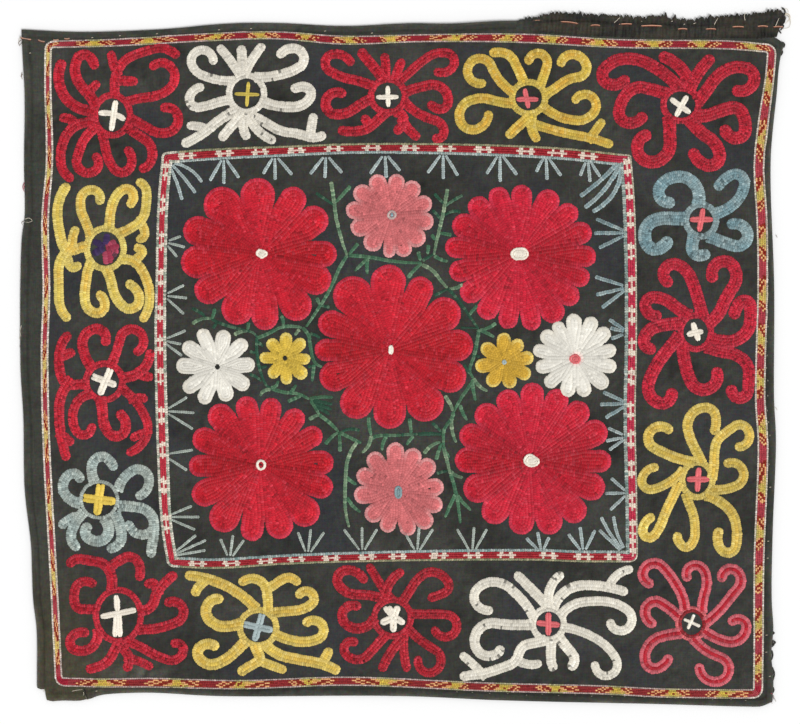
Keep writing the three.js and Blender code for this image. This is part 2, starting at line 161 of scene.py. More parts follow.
# Horn rosettes: name, middle, half width and half height of the opening. Each row after it is one band:
# kind, start x, start y from the middle, heading, then pairs of run and turn (mm along, degrees anticlockwise).
ROSETTES = """
@ red_top_left -219.1 182.0 10.9 12.7
    arm 2.5 13.3 103  18.1 -30  18.3 -50  18.1 -10  18.2 -63
    tine 3.2 32.6 116  15.0 -20
    tine 3.2 26.2 -6  14.4 7
    arm 10.4 9.7 22  17.5 -18  17.3 38  17.8 89  16.5 103
    arm 14.7 -3.2 -25  15.3 -8  14.4 47  15.6 88  15.3 102
    arm 11.8 -9.7 -36  14.1 5  19.0 -80  10.4 -59
    arm -7.5 -13.3 -78  14.7 -0  14.4 27  14.0 115  15.0 71
    arm -14.0 -10.4 -142  17.8 34  7.3 -1  20.9 136  14.5 118
    arm -11.8 -6.1 164  28.8 82  19.8 32  14.2 54
    tine -27.6 -6.8 123  12.4 67
    arm -11.8 1.8 160  6.9 12  48.2 -109
    arm -12.6 7.5 111  9.9 24  10.3 -11  10.2 -28  9.8 -36  9.5 -97  9.7 -51
    tine -17.6 16.9 53  9.9 -11
    cross1 2.5 11.1 -98  23.2 0
    cross1 -10.4 1.4 10  21.2 -48
@ white_top -118.4 198.2 10.8 11.5
    arm -9.7 9.5 -178  24.3 -25  10.1 -40  31.3 -216
    arm -5.4 15.2 123  24.6 9
    arm -2.9 15.2 91  19.4 5
    arm -0.4 17.4 63  22.3 -13
    arm 6.8 12.3 -1  16.8 12  16.9 19  16.7 127  15.9 85
    arm 13.3 -6.3 -24  10.0 14  14.1 15  7.4 31  6.3 28  9.2 102  10.0 51
    arm 6.8 -17.8 -26  14.0 -7  13.9 28  13.9 -15  12.8 52
    tine 47.7 -30.7 81  14.6 -2
    arm 3.2 -20.7 -59  23.0 37
    arm -1.8 -19.2 -108  14.3 55
    arm -5.4 -17.8 -132  20.9 3
    arm -9.7 -13.5 -153  19.5 14  25.3 -18
    tine -30.5 -26.8 149  13.4 40
    arm -14.0 -4.9 -172  11.5 12  11.2 -14  12.5 -115  12.2 -70
    cross1 1.4 8.8 -94  18.7 0
    cross1 -9.0 -0.2 -2  18.7 0
@ red_top -12.3 196.5 10.4 10.1
    arm -10.4 6.9 156  18.0 13  17.9 -22  16.2 -138  16.9 -72
    arm -4.2 13.9 130  25.6 1
    arm -2.1 13.9 83  16.7 18
    arm 5.5 13.2 76  14.1 -14
    arm 7.6 10.4 38  14.8 6  14.9 -11  14.7 -45  13.7 -117  13.6 -77
    arm 13.2 2.8 30  6.2 -14  12.6 -5  12.1 -58  10.5 -54  9.0 -88  8.1 -45
    arm 14.6 -6.9 -44  6.3 9  17.6 20  11.8 -76  10.2 -116
    arm 7.6 -12.5 -20  12.8 -114  5.4 -5
    tine 11.4 -19.4 -60  16.1 27
    arm -1.4 -11.8 -133  13.4 -5  13.1 -36  13.3 -17
    tine -13.9 -21.5 135  7.0 -17
    arm -11.8 -2.1 -160  15.2 18  15.4 -42  15.4 -110  15.5 -100
    cross1 -0.3 7.6 -88  16.0 0
    cross1 -9.0 -1.0 1  17.0 0
@ yellow_top 93.2 195.0 10.2 9.6
    arm -11.5 4.1 149  25.8 -38  43.9 268
    arm -3.3 10.8 110  9.0 5  9.9 3  9.2 47  9.7 32
    arm 8.5 9.3 66  16.0 9  24.1 193
    arm 13.7 3.3 32  13.7 4  13.1 -30  12.1 98  13.4 70  13.7 88
    arm 11.5 -7.0 -40  26.4 35  15.8 60  28.2 192
    arm 4.1 -19.6 -19  36.9 9  22.8 -12
    tine 46.3 -30.0 55  15.4 -1
    arm 1.9 -17.4 -94  15.1 45
    arm -3.3 -17.4 -140  16.3 7
    arm -11.5 -4.1 178  17.1 -15  16.8 41  16.4 77  16.9 97  16.1 72
    cross1 -3.0 7.0 -79  15.1 -0
    cross1 -9.3 -1.1 0  16.7 -0
@ red_top_right 207.4 190.0 10.9 10.0
    arm -2.1 13.4 132  16.9 12  13.1 11  17.4 30  16.5 44  15.2 119  14.1 65
    arm 5.4 17.6 108  28.7 59
    arm 7.1 13.4 64  27.1 -20
    arm 12.1 1.7 48  17.3 9  14.3 -26  16.8 -47  15.8 -108  15.3 -83
    arm 12.1 -8.4 -6  12.6 28  12.9 -7  11.5 -80  12.3 -30  11.9 -99  11.5 -68
    arm 8.8 -14.2 -53  15.9 22  15.4 -49  14.4 -111  16.7 -67
    arm -8.8 -11.7 -87  17.5 -2  22.6 -94  21.0 -112  10.0 -64
    arm -14.6 9.2 161  14.0 9  13.9 60  14.3 31  13.0 93  13.8 68
    cross1 4.9 6.6 -122  18.0 6
    cross1 -8.0 4.4 -36  18.6 0
@ blue_right 222.5 103.1 9.0 9.7
    arm -1.6 14.9 81  25.2 93  16.0 56  3.0 16  18.4 133
    arm 11.3 5.2 15  16.6 29  15.6 37  14.4 121  15.3 41
    arm 8.1 -12.9 -24  17.8 8  17.8 128  15.9 97
    arm -5.5 -12.9 -108  8.6 20  7.1 80  7.7 41
    arm -13.2 1.3 -179  11.0 -5  11.0 24  10.6 55  10.9 44  10.6 85  10.3 40
    cross1 1.6 9.0 -100  17.7 0
    cross1 -8.4 0.6 0  17.4 0
@ red_right 218.5 19.2 9.3 10.5
    arm 4.6 14.2 103  14.1 4  14.1 6  13.6 43  12.7 92  12.1 97
    arm 11.1 8.0 35  15.2 34  15.6 -15  15.8 63  14.4 95  14.5 88
    arm 13.4 -5.7 -17  11.0 20  12.3 37  11.3 42  12.5 16  10.3 130  11.4 41
    arm 11.1 -11.9 -22  12.9 14  12.6 -31  12.4 -52  13.3 -7  9.6 -94  10.5 -89
    arm -9.6 -11.1 -87  21.2 15  6.9 13  16.6 93  15.1 82
    arm -14.2 -5.0 -131  18.7 4  20.6 20  17.4 80  17.7 132
    arm -14.9 6.5 -176  14.1 9  14.2 61  12.5 119
    arm -6.5 13.4 150  14.2 -9  14.2 37  12.0 108  13.1 92
    cross1 -2.3 7.3 -72  14.5 0
    cross1 -6.5 -2.3 28  12.7 -32
@ yellow_right 219.7 -91.4 9.1 10.8
    arm 3.2 13.0 112  12.2 7  14.6 -17  10.7 -45  12.5 -52  12.5 -89  11.9 -27
    arm 11.0 1.0 76  13.5 14  9.9 -8  10.7 -44  11.5 -3  9.5 -80  10.6 -68  10.7 -77
    arm 11.8 -7.5 -5  18.1 29  29.3 185
    arm 7.9 -12.2 -19  15.9 -22  15.4 -39  16.5 -20  14.3 -132  15.6 -65
    arm -7.9 -12.2 -78  9.7 13  9.6 -18  9.9 -7  9.2 -40  8.0 -94  9.2 -51
    arm -15.0 -5.9 -114  12.3 -3  14.2 8  13.0 -19  13.1 -149  13.1 -59
    arm -11.0 6.7 -131  13.9 -17  13.5 -21  12.3 -110  15.8 -83
    arm -3.2 13.0 169  14.7 -9  16.8 -9  15.5 -106  16.0 -96
    cross1 1.2 9.1 -94  18.2 -0
    cross1 -7.9 0.4 -1  17.0 0
@ pink_bottom_right 215.7 -199.4 7.9 8.5
    arm -5.4 12.6 98  15.9 23  18.6 11  17.0 110  14.6 114
    arm 7.5 10.5 87  14.4 -15  14.4 39  12.1 89  11.9 112
    arm 11.2 1.7 34  17.5 18  17.0 -3  15.6 101  15.7 134
    arm 10.5 -6.5 -36  18.4 26  18.5 91  17.5 155
    arm 1.0 -11.2 -51  24.9 33  22.3 -136  24.3 -118
    arm -9.9 -7.1 -172  12.8 6  12.4 40  12.5 49  12.3 98  12.1 50
    arm -11.2 6.5 137  15.6 13  13.5 102  15.0 90
    cross1 1.7 6.8 -114  11.9 0
    cross1 -6.1 3.4 -24  13.4 0
@ red_bottom_left -214.5 -193.3 14.6 17.1
    arm -4.7 21.4 84  12.0 29  12.1 58  12.6 -1  10.7 73
    tine -7.4 35.8 36  13.5 -7  12.3 -89  12.9 -54
    arm -16.7 4.7 180  10.2 -0  8.5 -79  10.1 -27  8.9 -62  8.6 -57
    arm -15.4 -12.1 -83  12.8 -56  13.4 -62  11.8 -109  12.5 -72
    arm 0.7 -19.4 -118  12.3 -0  11.0 -39  10.4 -18
    arm 2.0 -20.8 -69  7.6 17  13.9 -74
    tine 8.0 -32.1 -15  17.8 -14
    arm 9.4 -20.1 -24  15.5 -7  15.6 16  13.7 86  12.9 142
    arm 16.7 -10.4 -2  28.6 28  26.5 191
    arm 18.1 3.7 3  12.3 74  11.3 -26  14.2 -16
    tine 29.5 18.1 119  5.2 -11  3.0 78  4.4 21
    cross1 -1.7 15.4 -85  12.1 0
    cross1 -1.3 2.0 -94  18.1 0
    cross1 0.0 2.0 -86  18.1 0
    cross1 -13.4 -1.0 11  27.3 0
@ yellow_bottom -109.7 -202.4 11.3 11.1
    arm -3.7 16.7 135  55.6 41
    tine -38.6 36.0 -148  14.2 36
    arm 7.4 14.5 89  13.7 11  5.9 34  18.3 91
    tine 6.7 28.5 37  14.6 -7  12.7 -93
    arm 13.3 11.5 6  13.8 -2  13.7 33  10.1 106  11.4 104
    arm 14.1 -5.6 -25  14.9 14  16.6 33  13.4 106  13.9 100
    arm 5.9 -13.0 -49  18.3 37  18.8 3  21.3 -20
    tine 48.2 -26.3 60  11.0 3
    arm -2.2 -12.2 -83  8.9 25  5.4 -88  8.2 -8  7.6 24
    tine 0.7 -24.8 -22  20.3 3
    arm -10.4 -10.8 -130  11.4 -7  14.0 -20  15.2 -72  12.0 -104  11.3 -69
    arm -13.3 3.3 -158  12.5 -23  13.5 -51  12.0 -74  10.8 -70
    cross2 3.0 10.0 -106  20.8 0
    cross2 -10.4 2.6 -12  21.6 0
@ red_bottom -8.9 -195.1 11.4 11.4
    arm -9.7 15.3 164  17.1 17  16.2 -58  15.1 -120  16.9 -68
    arm -2.8 16.0 125  27.4 -5
    arm -4.9 19.4 77  20.0 -49
    arm 9.0 14.6 55  11.2 4  11.0 -22  11.4 -56  10.9 -40  9.6 -96  11.8 -9
    arm 14.6 2.8 -1  12.9 2  12.9 -5  12.3 -84  12.7 -87  11.9 -75
    arm 13.9 -10.4 -45  22.3 16  21.2 -130  19.1 -131
    arm 8.3 -15.3 -93  23.8 19
    arm 5.5 -17.3 -133  25.5 21
    arm -5.5 -13.2 -130  20.0 -4  19.3 -104  15.6 -158
    arm -13.9 -0.7 -118  25.1 -105  23.8 -171
    cross1 0.7 0.7 132  10.3 -0
    cross1 0.7 0.7 113  9.0 -0
    cross2 0.7 0.7 67  9.0 0
    cross2 0.7 0.7 -30  9.6 -0
    cross2 0.7 0.7 -90  11.1 0
    cross2 0.7 0.7 -153  10.5 0
@ white_bottom 108.0 -199.6 9.3 9.5
    arm -11.2 5.2 115  14.9 17  13.2 7  14.1 42  13.0 46  13.0 81  12.0 60
    arm -2.6 15.5 133  30.2 3
    arm 0.0 17.2 94  23.3 -60
    arm 4.3 13.8 67  28.9 -66  31.7 -21
    tine 45.6 28.0 71  22.1 -65
    arm 10.3 7.7 51  17.6 -42  18.5 -15  17.4 -33  16.4 -108  16.5 -116
    arm 12.9 -2.6 -10  29.4 -25  17.2 -29  31.2 -212
    arm 9.5 -12.1 -52  12.7 3  12.2 -93
    arm 2.2 -12.1 -94  13.1 5  8.8 27
    arm -2.6 -12.1 -162  12.1 -9  11.7 69  11.7 -58  12.1 -1  12.1 -12  12.1 3
    tine -22.4 -27.6 -31  16.5 49
    tine -49.1 -37.9 132  21.6 10
    arm -12.9 -0.4 -176  27.4 -12  26.5 114  25.4 138
    cross1 0.0 8.6 -90  17.2 0
    cross1 -9.0 0.9 -6  17.7 0
@ yellow_left -224.3 81.9 11.5 12.9
    arm -12.2 2.2 -170  11.5 11  11.1 -94  11.6 -7  11.6 -9  11.5 -19  11.4 -26
    arm -28.7 -1.4 -135  18.2 47  18.6 -3  18.3 49
    tine -24.4 -0.7 102  16.4 -42
    tine -28.7 -6.5 -73  4.2 -3  3.7 35  2.8 63  4.1 23
    arm -11.5 10.8 106  13.8 10  14.0 -35  12.6 -88  12.6 -115
    arm 2.9 16.5 86  10.5 -3  10.5 -18  9.9 -35  9.2 -105  9.6 -67
    arm 12.9 12.2 24  12.5 12  13.0 46  12.8 9  11.1 74
    tine 25.1 19.4 -30  9.6 -62  7.3 -94
    arm 15.1 -7.9 -3  13.3 -54  14.0 -17  13.8 -24  14.0 -28
    tine 21.5 -9.3 38  7.8 11  2.8 69  5.4 82
    arm 0.0 -13.6 -62  16.5 -18  16.9 40  16.2 129  16.0 75
    arm -10.8 -10.8 -119  10.0 21  10.2 0  10.9 22  10.6 63  10.4 102  10.5 59
    violet 3.6 -0.1 2.0 77  9.4 6
    violet 3.4 -0.9 0.8 142  9.6 8
    violet 3.8 -0.4 -0.2 -162  9.8 6
    dusk 3.0 3.0 -2.2 -28  6.6 0
    crimson 3.4 0.6 1.0 36  8.6 -12
    crimson 3.4 0.6 -0.6 16  10.2 0
    crimson 3.2 1.2 -1.6 -8  8.8 8
    crimson 3.3 0.2 -1.8 -88  10.0 4
    crimson 3.3 2.6 -1.4 -80  9.6 -4
@ red_left -225.1 -17.9 11.2 11.2
    arm -12.1 -2.0 179  11.6 6  10.7 -77  11.9 -16  11.5 -18  11.1 -34
    tine -32.5 18.8 23  9.6 -7
    arm -27.5 -2.0 -128  18.9 36  19.5 11  19.0 9
    tine -32.1 -40.2 -39  9.5 2
    arm -13.4 -10.0 -161  7.5 33  24.0 68  17.4 160
    arm -10.0 11.4 126  16.7 -27  18.0 -92  16.1 -130
    arm 6.0 14.1 67  19.5 10  17.5 -114  19.5 -123
    arm 14.1 3.3 -2  31.4 91
    tine 25.4 6.0 -24  10.1 19
    arm 14.7 -6.0 -39  27.2 -27  17.2 -55  15.5 -41
    tine 21.4 -12.7 16  9.8 -35
    tine 30.8 -38.8 -178  10.6 41
    arm -3.3 -12.1 -71  14.1 -20  14.0 44  13.7 112  15.3 88
    cross2 4.7 9.4 -113  21.1 -0
    cross2 -8.7 4.0 -21  19.0 0
@ blue_left -228.9 -106.4 12.5 12.4
    arm -3.9 14.0 112  10.6 -24  8.8 -59  7.8 -69  9.1 -27
    arm 14.3 8.0 75  17.8 -45  16.9 -116  16.3 -74
    arm 16.0 -4.7 1  15.7 -14  15.5 -73  16.1 -16  8.5 10
    tine 40.2 -22.3 -126  19.2 -113  4.7 -3
    arm 12.7 -11.8 -64  15.0 -20  16.0 -97
    arm 3.9 -14.0 -48  10.3 -46  10.6 -75  10.8 -58  9.7 -110
    arm -12.7 -10.2 -131  15.9 22  14.1 78
    tine -16.0 -14.0 131  4.0 76  6.8 7  4.4 34
    arm -14.9 -2.5 174  14.0 -56  15.1 -82  11.6 -121
    cross2 1.1 11.3 -97  22.7 0
    cross2 -11.6 1.4 -7  23.8 0
"""
# Stems and leaves: tone, start x, y, heading, then pairs of run and turn.
STEMS = """
    d -159.4 37.1 -20  12.9 -26
    l -159.1 25.4 42  15.4 -53
    g -142.3 37.1 -93  8.5 -27
    d -143.5 21.9 59  5.4 -0
    d -144.7 29.1 -30  11.8 13  18.3 5  7.2 -54
    g -116.8 26.6 -99  5.8 0
    l -127.6 17.2 36  10.9 -40
    g -110.5 14.9 17  13.3 13  13.4 -25
    g -92.5 31.6 -54  8.5 -55
    d -110.5 15.4 -96  35.8 32  5.4 60
    d -110.5 12.3 -39  6.0 0
    d -116.1 4.8 -15  4.5 0
    d -107.5 -7.6 18  4.7 0
    d -116.2 -12.4 -9  10.6 -45
    g -100.3 -22.4 -1  8.6 90
    l -100.3 -23.8 171  10.2 82
    g -100.3 -22.7 -25  15.6 23  14.9 -35
    g -85.0 -26.0 56  7.1 -0
    g -87.4 -32.9 29  10.7 -14
    g -91.8 23.0 12  15.3 -28
    g -76.6 22.6 -34  11.3 -50  11.8 4  12.0 65
    l -78.8 21.5 -128  5.8 0
    d -70.8 18.2 -11  8.4 -26
    d -72.4 -6.8 10  4.0 0
    g -67.9 -5.0 -95  12.8 -1
    l -55.0 132.1 -81  19.4 -2  37.5 15
    d -66.5 123.6 -32  15.9 -3
    g -40.5 129.0 -131  17.9 -1
    g -34.7 85.8 -130  11.0 0
    g -42.8 76.8 -126  18.2 14  20.8 -10  23.1 -4
    g -65.8 45.2 -67  5.9 0
    d -56.0 37.8 167  6.5 0
    g -41.8 76.8 -3  26.9 -8  28.4 13
    g -28.2 74.2 -135  12.9 -1
    g -27.6 74.5 -99  11.7 16
    g 10.4 79.8 -77  7.2 -0
    g 18.0 84.8 -94  7.1 -0
    d 13.5 72.6 34  10.1 -4
    g 22.4 76.7 -42  11.4 41
    l 32.2 126.7 -98  28.8 -6  21.9 4
    d 22.5 123.2 -49  10.4 1
    d 43.6 121.9 -154  15.9 12
    d 20.8 110.7 -37  9.8 -23
    d 42.3 109.4 160  12.8 64
    g 35.4 92.2 171  9.2 -4
    g 20.3 92.6 -56  5.2 -0
    l 13.0 69.7 -16  15.8 -41  10.8 15
    d 32.2 52.2 -43  18.3 -13  20.4 1
    g 2.8 59.9 59  15.0 -26
    l 43.8 55.3 -141  11.5 -42
    d 22.4 46.5 29  10.7 -3
    g 54.5 39.6 -128  9.8 0
    g 68.6 26.2 -138  14.0 -37
    g 56.3 21.0 -21  12.4 -10
    t 42.5 22.8 -3  12.5 0
    g 56.0 21.4 -100  13.8 1  12.6 -15  11.9 63
    d 56.4 0.3 146  3.5 -0
    d 44.8 -5.1 -63  10.2 16
    l 51.8 -15.1 -66  14.9 46
    g 51.2 -15.9 -92  16.4 20
    g 51.2 -18.1 -129  26.9 13
    g 36.5 -40.6 -87  8.9 -50  9.5 44  9.9 7
    g 41.8 -35.3 -77  12.8 23
    l 30.2 -28.5 -49  13.3 -25
    l 35.7 -45.1 -99  19.1 38
    d 20.7 -48.5 -45  10.4 0
    k 10.2 -57.5 6  17.6 -11
    l 14.7 -71.9 59  15.6 -47
    g 24.0 -76.4 78  13.1 -10
    g 29.0 -66.4 -73  9.9 26
    l 29.2 -66.9 -74  21.0 -4
    d 24.2 -86.7 17  8.9 -11
    l 33.9 -84.5 -50  11.7 46
    g 34.7 -87.1 -72  37.8 -14
    g 38.3 -102.1 -116  19.3 4
    g 39.5 -102.9 -53  15.6 10
    g -70.2 -31.9 -58  12.6 -3
    g -71.2 -31.0 16  18.0 -24
    k -68.2 -31.6 -19  14.6 12
    k -68.2 -33.1 -30  15.0 17
    k -66.7 -35.8 -35  12.5 6
    g -63.8 -42.8 -34  19.6 -15
    l -71.6 -46.2 34  8.6 -21
    g -59.3 -64.9 58  13.2 -29
    g -48.3 -70.4 90  14.5 4
    d -33.4 -54.5 159  15.4 55
    g -48.7 -55.9 -27  18.3 1
    l -35.2 -62.9 -131  22.4 37  21.8 3  22.4 18
    g -43.0 -89.5 -51  9.2 25
    g -43.2 -104.7 -62  15.3 30
    g -26.8 -44.6 -91  14.0 19
    l -24.8 -58.4 -93  15.1 -52
    g -24.8 -60.5 29  11.3 -33  11.6 9
    g -13.4 -58.9 -129  11.4 44
    d -2.4 -58.0 8  12.6 -10
    g 3.5 -45.4 -77  12.7 -13
    g 6.6 -58.5 -127  8.6 -0
"""
# Tufts on the inner trim: tone, root x, y, then strokes as angle and length.
TUFTS = """
    b -135.3 148.4  -124 18.9  -90 18.0  -50 17.6
    b -97.0 149.9  -127 15.0  -90 16.5  -45 18.0
    b -58.8 150.6  -133 17.5  -93 15.8  -45 17.0
    b -14.5 151.4  -130 17.6  -87 16.5  -45 15.9
    b 29.0 152.1  -131 17.8  -90 18.0  -54 19.1
    b 71.7 151.4  -127 16.9  -90 19.5  -48 19.1
    b 106.2 149.9  -126 12.9  -87 16.5  -50 17.6
    b 137.7 146.9  -120 12.1  -84 15.1  -51 14.4
    b -174.3 144.6  -30 25.9  -50 27.4  -74 27.3
    B 161.7 145.4  -141 38.5  -129 42.2  -120 41.3
    l -177.3 86.1  28 11.1  -13 13.1  -57 12.5
    l -178.0 46.4  33 15.2  -6 15.1  -47 18.6
    l -178.8 12.6  28 16.9  -11 11.8  -43 16.4
    l -177.3 -39.9  36 17.7  -4 19.9  -36 23.1
    l -176.9 -73.6  14 18.9  -38 17.6
    l -175.0 -119.4  28 17.8  0 21.4  -28 20.5
    l -172.0 -147.1  42 21.2  24 25.5  7 23.1
    l -130.8 -148.6  120 14.8  82 15.9  49 15.9
    l -72.3 -145.6  117 16.8  83 17.4  51 19.2
    l -31.8 -144.1  131 20.7  90 17.2  54 19.4
    l 9.5 -144.1  126 14.0  85 17.3  53 19.8
    l 50.7 -144.9  124 20.0  85 18.1  56 20.0
    b 102.5 -144.1  141 14.4  101 13.8  58 11.4
    b 134.0 -144.1  133 16.4  97 17.4  59 17.5
    b 163.2 -143.4  140 22.4  123 28.7  104 25.5
    B 164.7 93.6  153 23.5  180 22.5  -149 21.9
    B 164.7 52.4  159 23.3  -166 21.6  -138 22.3
    B 164.7 19.4  140 14.6  164 10.9  -153 10.9
    B 164.7 -34.6  150 18.1  -179 18.0  -143 17.4
    b 164.3 -59.4  150 13.4  -167 13.5  -138 14.6
    b 165.5 -101.4  133 15.4  -179 15.0  -131 17.0
"""
# Pink basting stitches on the top band: x, y of both ends.
BASTING = """
    95.7 252.6 104.0 252.6
    116.7 251.9 130.2 250.4
    139.2 248.9 146.7 248.9
    160.2 249.6 170.7 250.0
    176.7 248.5 193.2 248.5
    204.5 246.2 212.0 246.2
    225.5 246.2 233.7 246.2
    245.7 248.1 254.7 248.1
    264.5 248.5 272.7 248.5
    276.5 248.1 284.0 248.1
    -288.3 240.4 -279.7 238.8
    -275.0 238.7 -269.6 237.2
    -263.6 238.6 -259.3 238.8
    -255.2 239.6 -251.0 239.7
"""
# Loose thread ends: points x, y.
LOOSE = """
    156.5 249.6 158.0 251.9 160.2 253.4
    159.5 253.4 161.0 254.5 161.7 255.6
    177.5 252.6 178.2 251.9
    200.0 251.9 201.5 252.6
    209.0 249.6 210.5 250.4
    216.5 250.4 218.7 251.1
    232.2 249.6 233.7 252.6 235.2 254.9
    255.5 252.6 254.7 256.4 256.2 259.4
    278.0 248.1 279.5 251.9 281.0 254.9
    285.5 258.6 288.5 256.4 287.7 252.6 285.5 250.4
    284.7 256.4 287.7 257.9 289.2 254.9 286.2 251.9
"""
# Frayed ends along the edges and the slit in the undone hem. p pale, n brown, r red, k the slit's shade; then points x, y.
FRAYS = """
    p -249.4 -250.1 -246.0 -249.3 -241.3 -248.7
    p -240.9 -250.6 -240.5 -251.9 -240.9 -253.4
    p -239.1 -253.6 -238.7 -254.6 -238.6 -256.4
    p -238.6 -256.2 -236.4 -256.9
    k -240.1 -248.0 -239.2 -251.4 -237.9 -256.2
    p -270.6 -247.6 -270.1 -249.4 -271.4 -251.3
    p -271.8 -247.9 -272.2 -249.8
    p -269.6 -248.4 -269.2 -250.6
    n -286.9 214.6 -287.4 211.6 -286.8 208.9
    n -286.6 213.0 -288.2 210.8
    r -285.1 131.6 -286.5 128.4 -285.4 124.6
    r -284.9 129.4 -286.4 125.9
    p -284.6 103.9 -281.5 104.8 -279.2 102.9 -281.9 101.6 -285.3 102.2
    n -285.6 102.9 -287.3 101.4 -286.4 99.6
    p -287.1 24.4 -288.4 20.1 -287.5 15.7
    p -287.9 18.0 -289.2 13.6
    n -287.6 10.6 -288.8 7.4
    n 275.4 -252.1 277.4 -254.3 276.6 -257.2
    n 274.9 -253.4 277.9 -255.9 279.0 -258.3
    r 274.6 -251.2 276.6 -252.6
    n 274.0 -257.0 276.4 -259.6
    d 275.2 -205.2 277.6 -206.4 276.0 -208.0
    d 274.8 -211.8 278.6 -213.6 275.6 -215.8
    d 275.0 -213.4 277.6 -214.8 275.8 -217.2
    d 275.6 -219.4 276.6 -223.0 275.8 -226.8
    d 276.0 -232.0 277.8 -237.4 276.2 -243.2
    d 275.8 -246.0 277.4 -249.4 275.0 -253.0
    d 272.6 -253.6 275.4 -256.4 272.0 -257.6
    d 277.6 231.4 279.8 229.2 278.2 226.8
    d 276.8 222.6 278.4 220.6
    d 282.0 231.4 283.8 229.6 282.9 226.8
    d 283.2 237.0 285.4 235.4 284.9 232.6
    d 283.4 263.0 285.8 260.4 285.0 256.6
    d 282.8 258.0 285.9 255.4 284.6 250.8
    d 281.8 251.4 284.6 249.2 282.4 245.6
    d 280.6 246.6 283.0 243.4
    p 285.4 259.0 289.6 254.4 288.8 248.2 283.6 247.0
    p 284.2 256.8 288.0 258.6 289.4 252.0
    p 283.4 261.0 287.2 262.0 288.6 259.2
    p 276.9 -38.6 279.0 -37.4 280.1 -39.6
    n 278.9 92.4 280.1 90.2
    p -287.6 241.4 -289.4 238.7 -289.0 235.6
    n -287.3 238.8 -289.6 236.6 -288.6 233.6
    n -286.9 236.7 -288.9 234.6
"""
# Single pale stitches that show on the hem: x, y.
DOTS = """
    -233.9 240.0
    -213.3 241.4
    -185.5 242.9
    -139.0 245.9
    -115.0 246.8
    -59.5 245.1
    -24.3 243.6
    -280.8 228.6
    274.2 -96.9
    272.7 -137.4
    272.3 -150.1
    271.6 -207.9
    271.2 -220.6
    273.8 -238.6
    -231.0 -249.9
"""


# ---------------------------------------------------------------- colours
def lin(code, gain=1.0):
    """sRGB hex to linear RGB."""
    v = np.array([int(code[i:i + 2], 16) / 255.0 for i in (0, 2, 4)])
    return np.where(v <= 0.04045, v / 12.92, ((v + 0.055) / 1.055) ** 2.4) * gain


def mix(a, b, t):
    return np.asarray(a) * (1 - t) + np.asarray(b) * t


INK = {
    "red": lin("be192c"), "pink": lin("d8686c"), "darkred": lin("8f1a22"), "yellow": lin("deba42"), "orange": lin("e09a30"),
    "cream": lin("ebe5d6"), "blue": lin("80989c"), "bluegrey": lin("a4b3b3"), "pale": lin("aab4a9"), "crimson": lin("b01f38"),
    "brick": lin("922a17"), "peach": lin("f0b078"), "lime": mix(lin("e0c958"), lin("e2a860"), 0.22), "edge": lin("b7a29c"), "olive": lin("b3a552"), "violet": lin("36264e"),
    "green": lin("4f8462"), "dark": lin("2c6049"), "light": lin("8bab8a"), "thread": lin("96ab90"), "basting": lin("dba287"),
    "white": lin("efe6d6"), "straw": lin("e2c455"), "cloth": lin("373733"), "margin": lin("3c3d37"), "strip": lin("302f2b"), "dusk": lin("5e3440"),
}

# ---------------------------------------------------------------- smooth random fields
def field(seed, count, lo, hi):
    """A smooth random function of x and y with waves from lo to hi long, of about unit size."""
    rng = np.random.default_rng(seed)
    wave = 2 * math.pi / np.exp(rng.uniform(math.log(lo), math.log(hi), count))
    turn = rng.uniform(0, 2 * math.pi, count)
    phase = rng.uniform(0, 2 * math.pi, count)
    kx, ky = wave * np.cos(turn), wave * np.sin(turn)

    def f(x, y):
        out = np.zeros(np.shape(x))
        for a, b, c in zip(kx, ky, phase):
            out = out + np.cos(a * x + b * y + c)
        return out * math.sqrt(2.0 / count)
    return f


swell, ripple, mottle, speckle = field(3, 16, 90, 260), field(5, 26, 14, 38), field(9, 30, 25, 140), field(11, 40, 5, 14)


def lift(x, y):
    """How far the cloth stands off the floor: slow swells, small puckers and one soft fold line."""
    fold = 0.42 * np.exp(-((x + 12.0 + 0.012 * y) / 3.0) ** 2) * (0.5 + 0.5 * np.tanh((np.abs(y + 10) - 120) / 30))
    z = 0.55 + 0.26 * swell(x, y) + 0.075 * ripple(x, y) + fold
    return np.where(z > 0.12, z, 0.12 * np.exp(z - 0.12))


# ---------------------------------------------------------------- curves
def catmull(knots, step):
    """Centripetal Catmull-Rom through the knots, resampled evenly."""
    p = np.array(knots, float)
    ext = np.vstack([2 * p[0] - p[1], p, 2 * p[-1] - p[-2]])
    out = []
    for i in range(1, len(ext) - 2):
        p0, p1, p2, p3 = ext[i - 1:i + 3]
        d0, d1, d2 = (max(np.hypot(*(b - a)[:2]) ** 0.5, 1e-4) for a, b in ((p0, p1), (p1, p2), (p2, p3)))
        t1 = ((p1 - p0) / d0 - (p2 - p0) / (d0 + d1) + (p2 - p1) / d1) * d1
        t2 = ((p2 - p1) / d1 - (p3 - p1) / (d1 + d2) + (p3 - p2) / d2) * d1
        t = np.linspace(0, 1, 24, endpoint=i == len(ext) - 3)[:, None]
        out.append((2 * t**3 - 3 * t**2 + 1) * p1 + (t**3 - 2 * t**2 + t) * t1 + (3 * t**2 - 2 * t**3) * p2 + (t**3 - t**2) * t2)
    return even(np.vstack(out), step)


def arclen(p):
    return np.concatenate([[0], np.cumsum(np.hypot(*(np.diff(p[:, :2], axis=0)).T))])


def at(p, s):
    """Points of the polyline p (any number of columns) at lengths s."""
    a = arclen(p)
    return np.stack([np.interp(s, a, p[:, k]) for k in range(p.shape[1])], 1)


def even(p, step):
    n = max(2, int(round(arclen(p)[-1] / step)) + 1)
    return at(p, np.linspace(0, arclen(p)[-1], n))


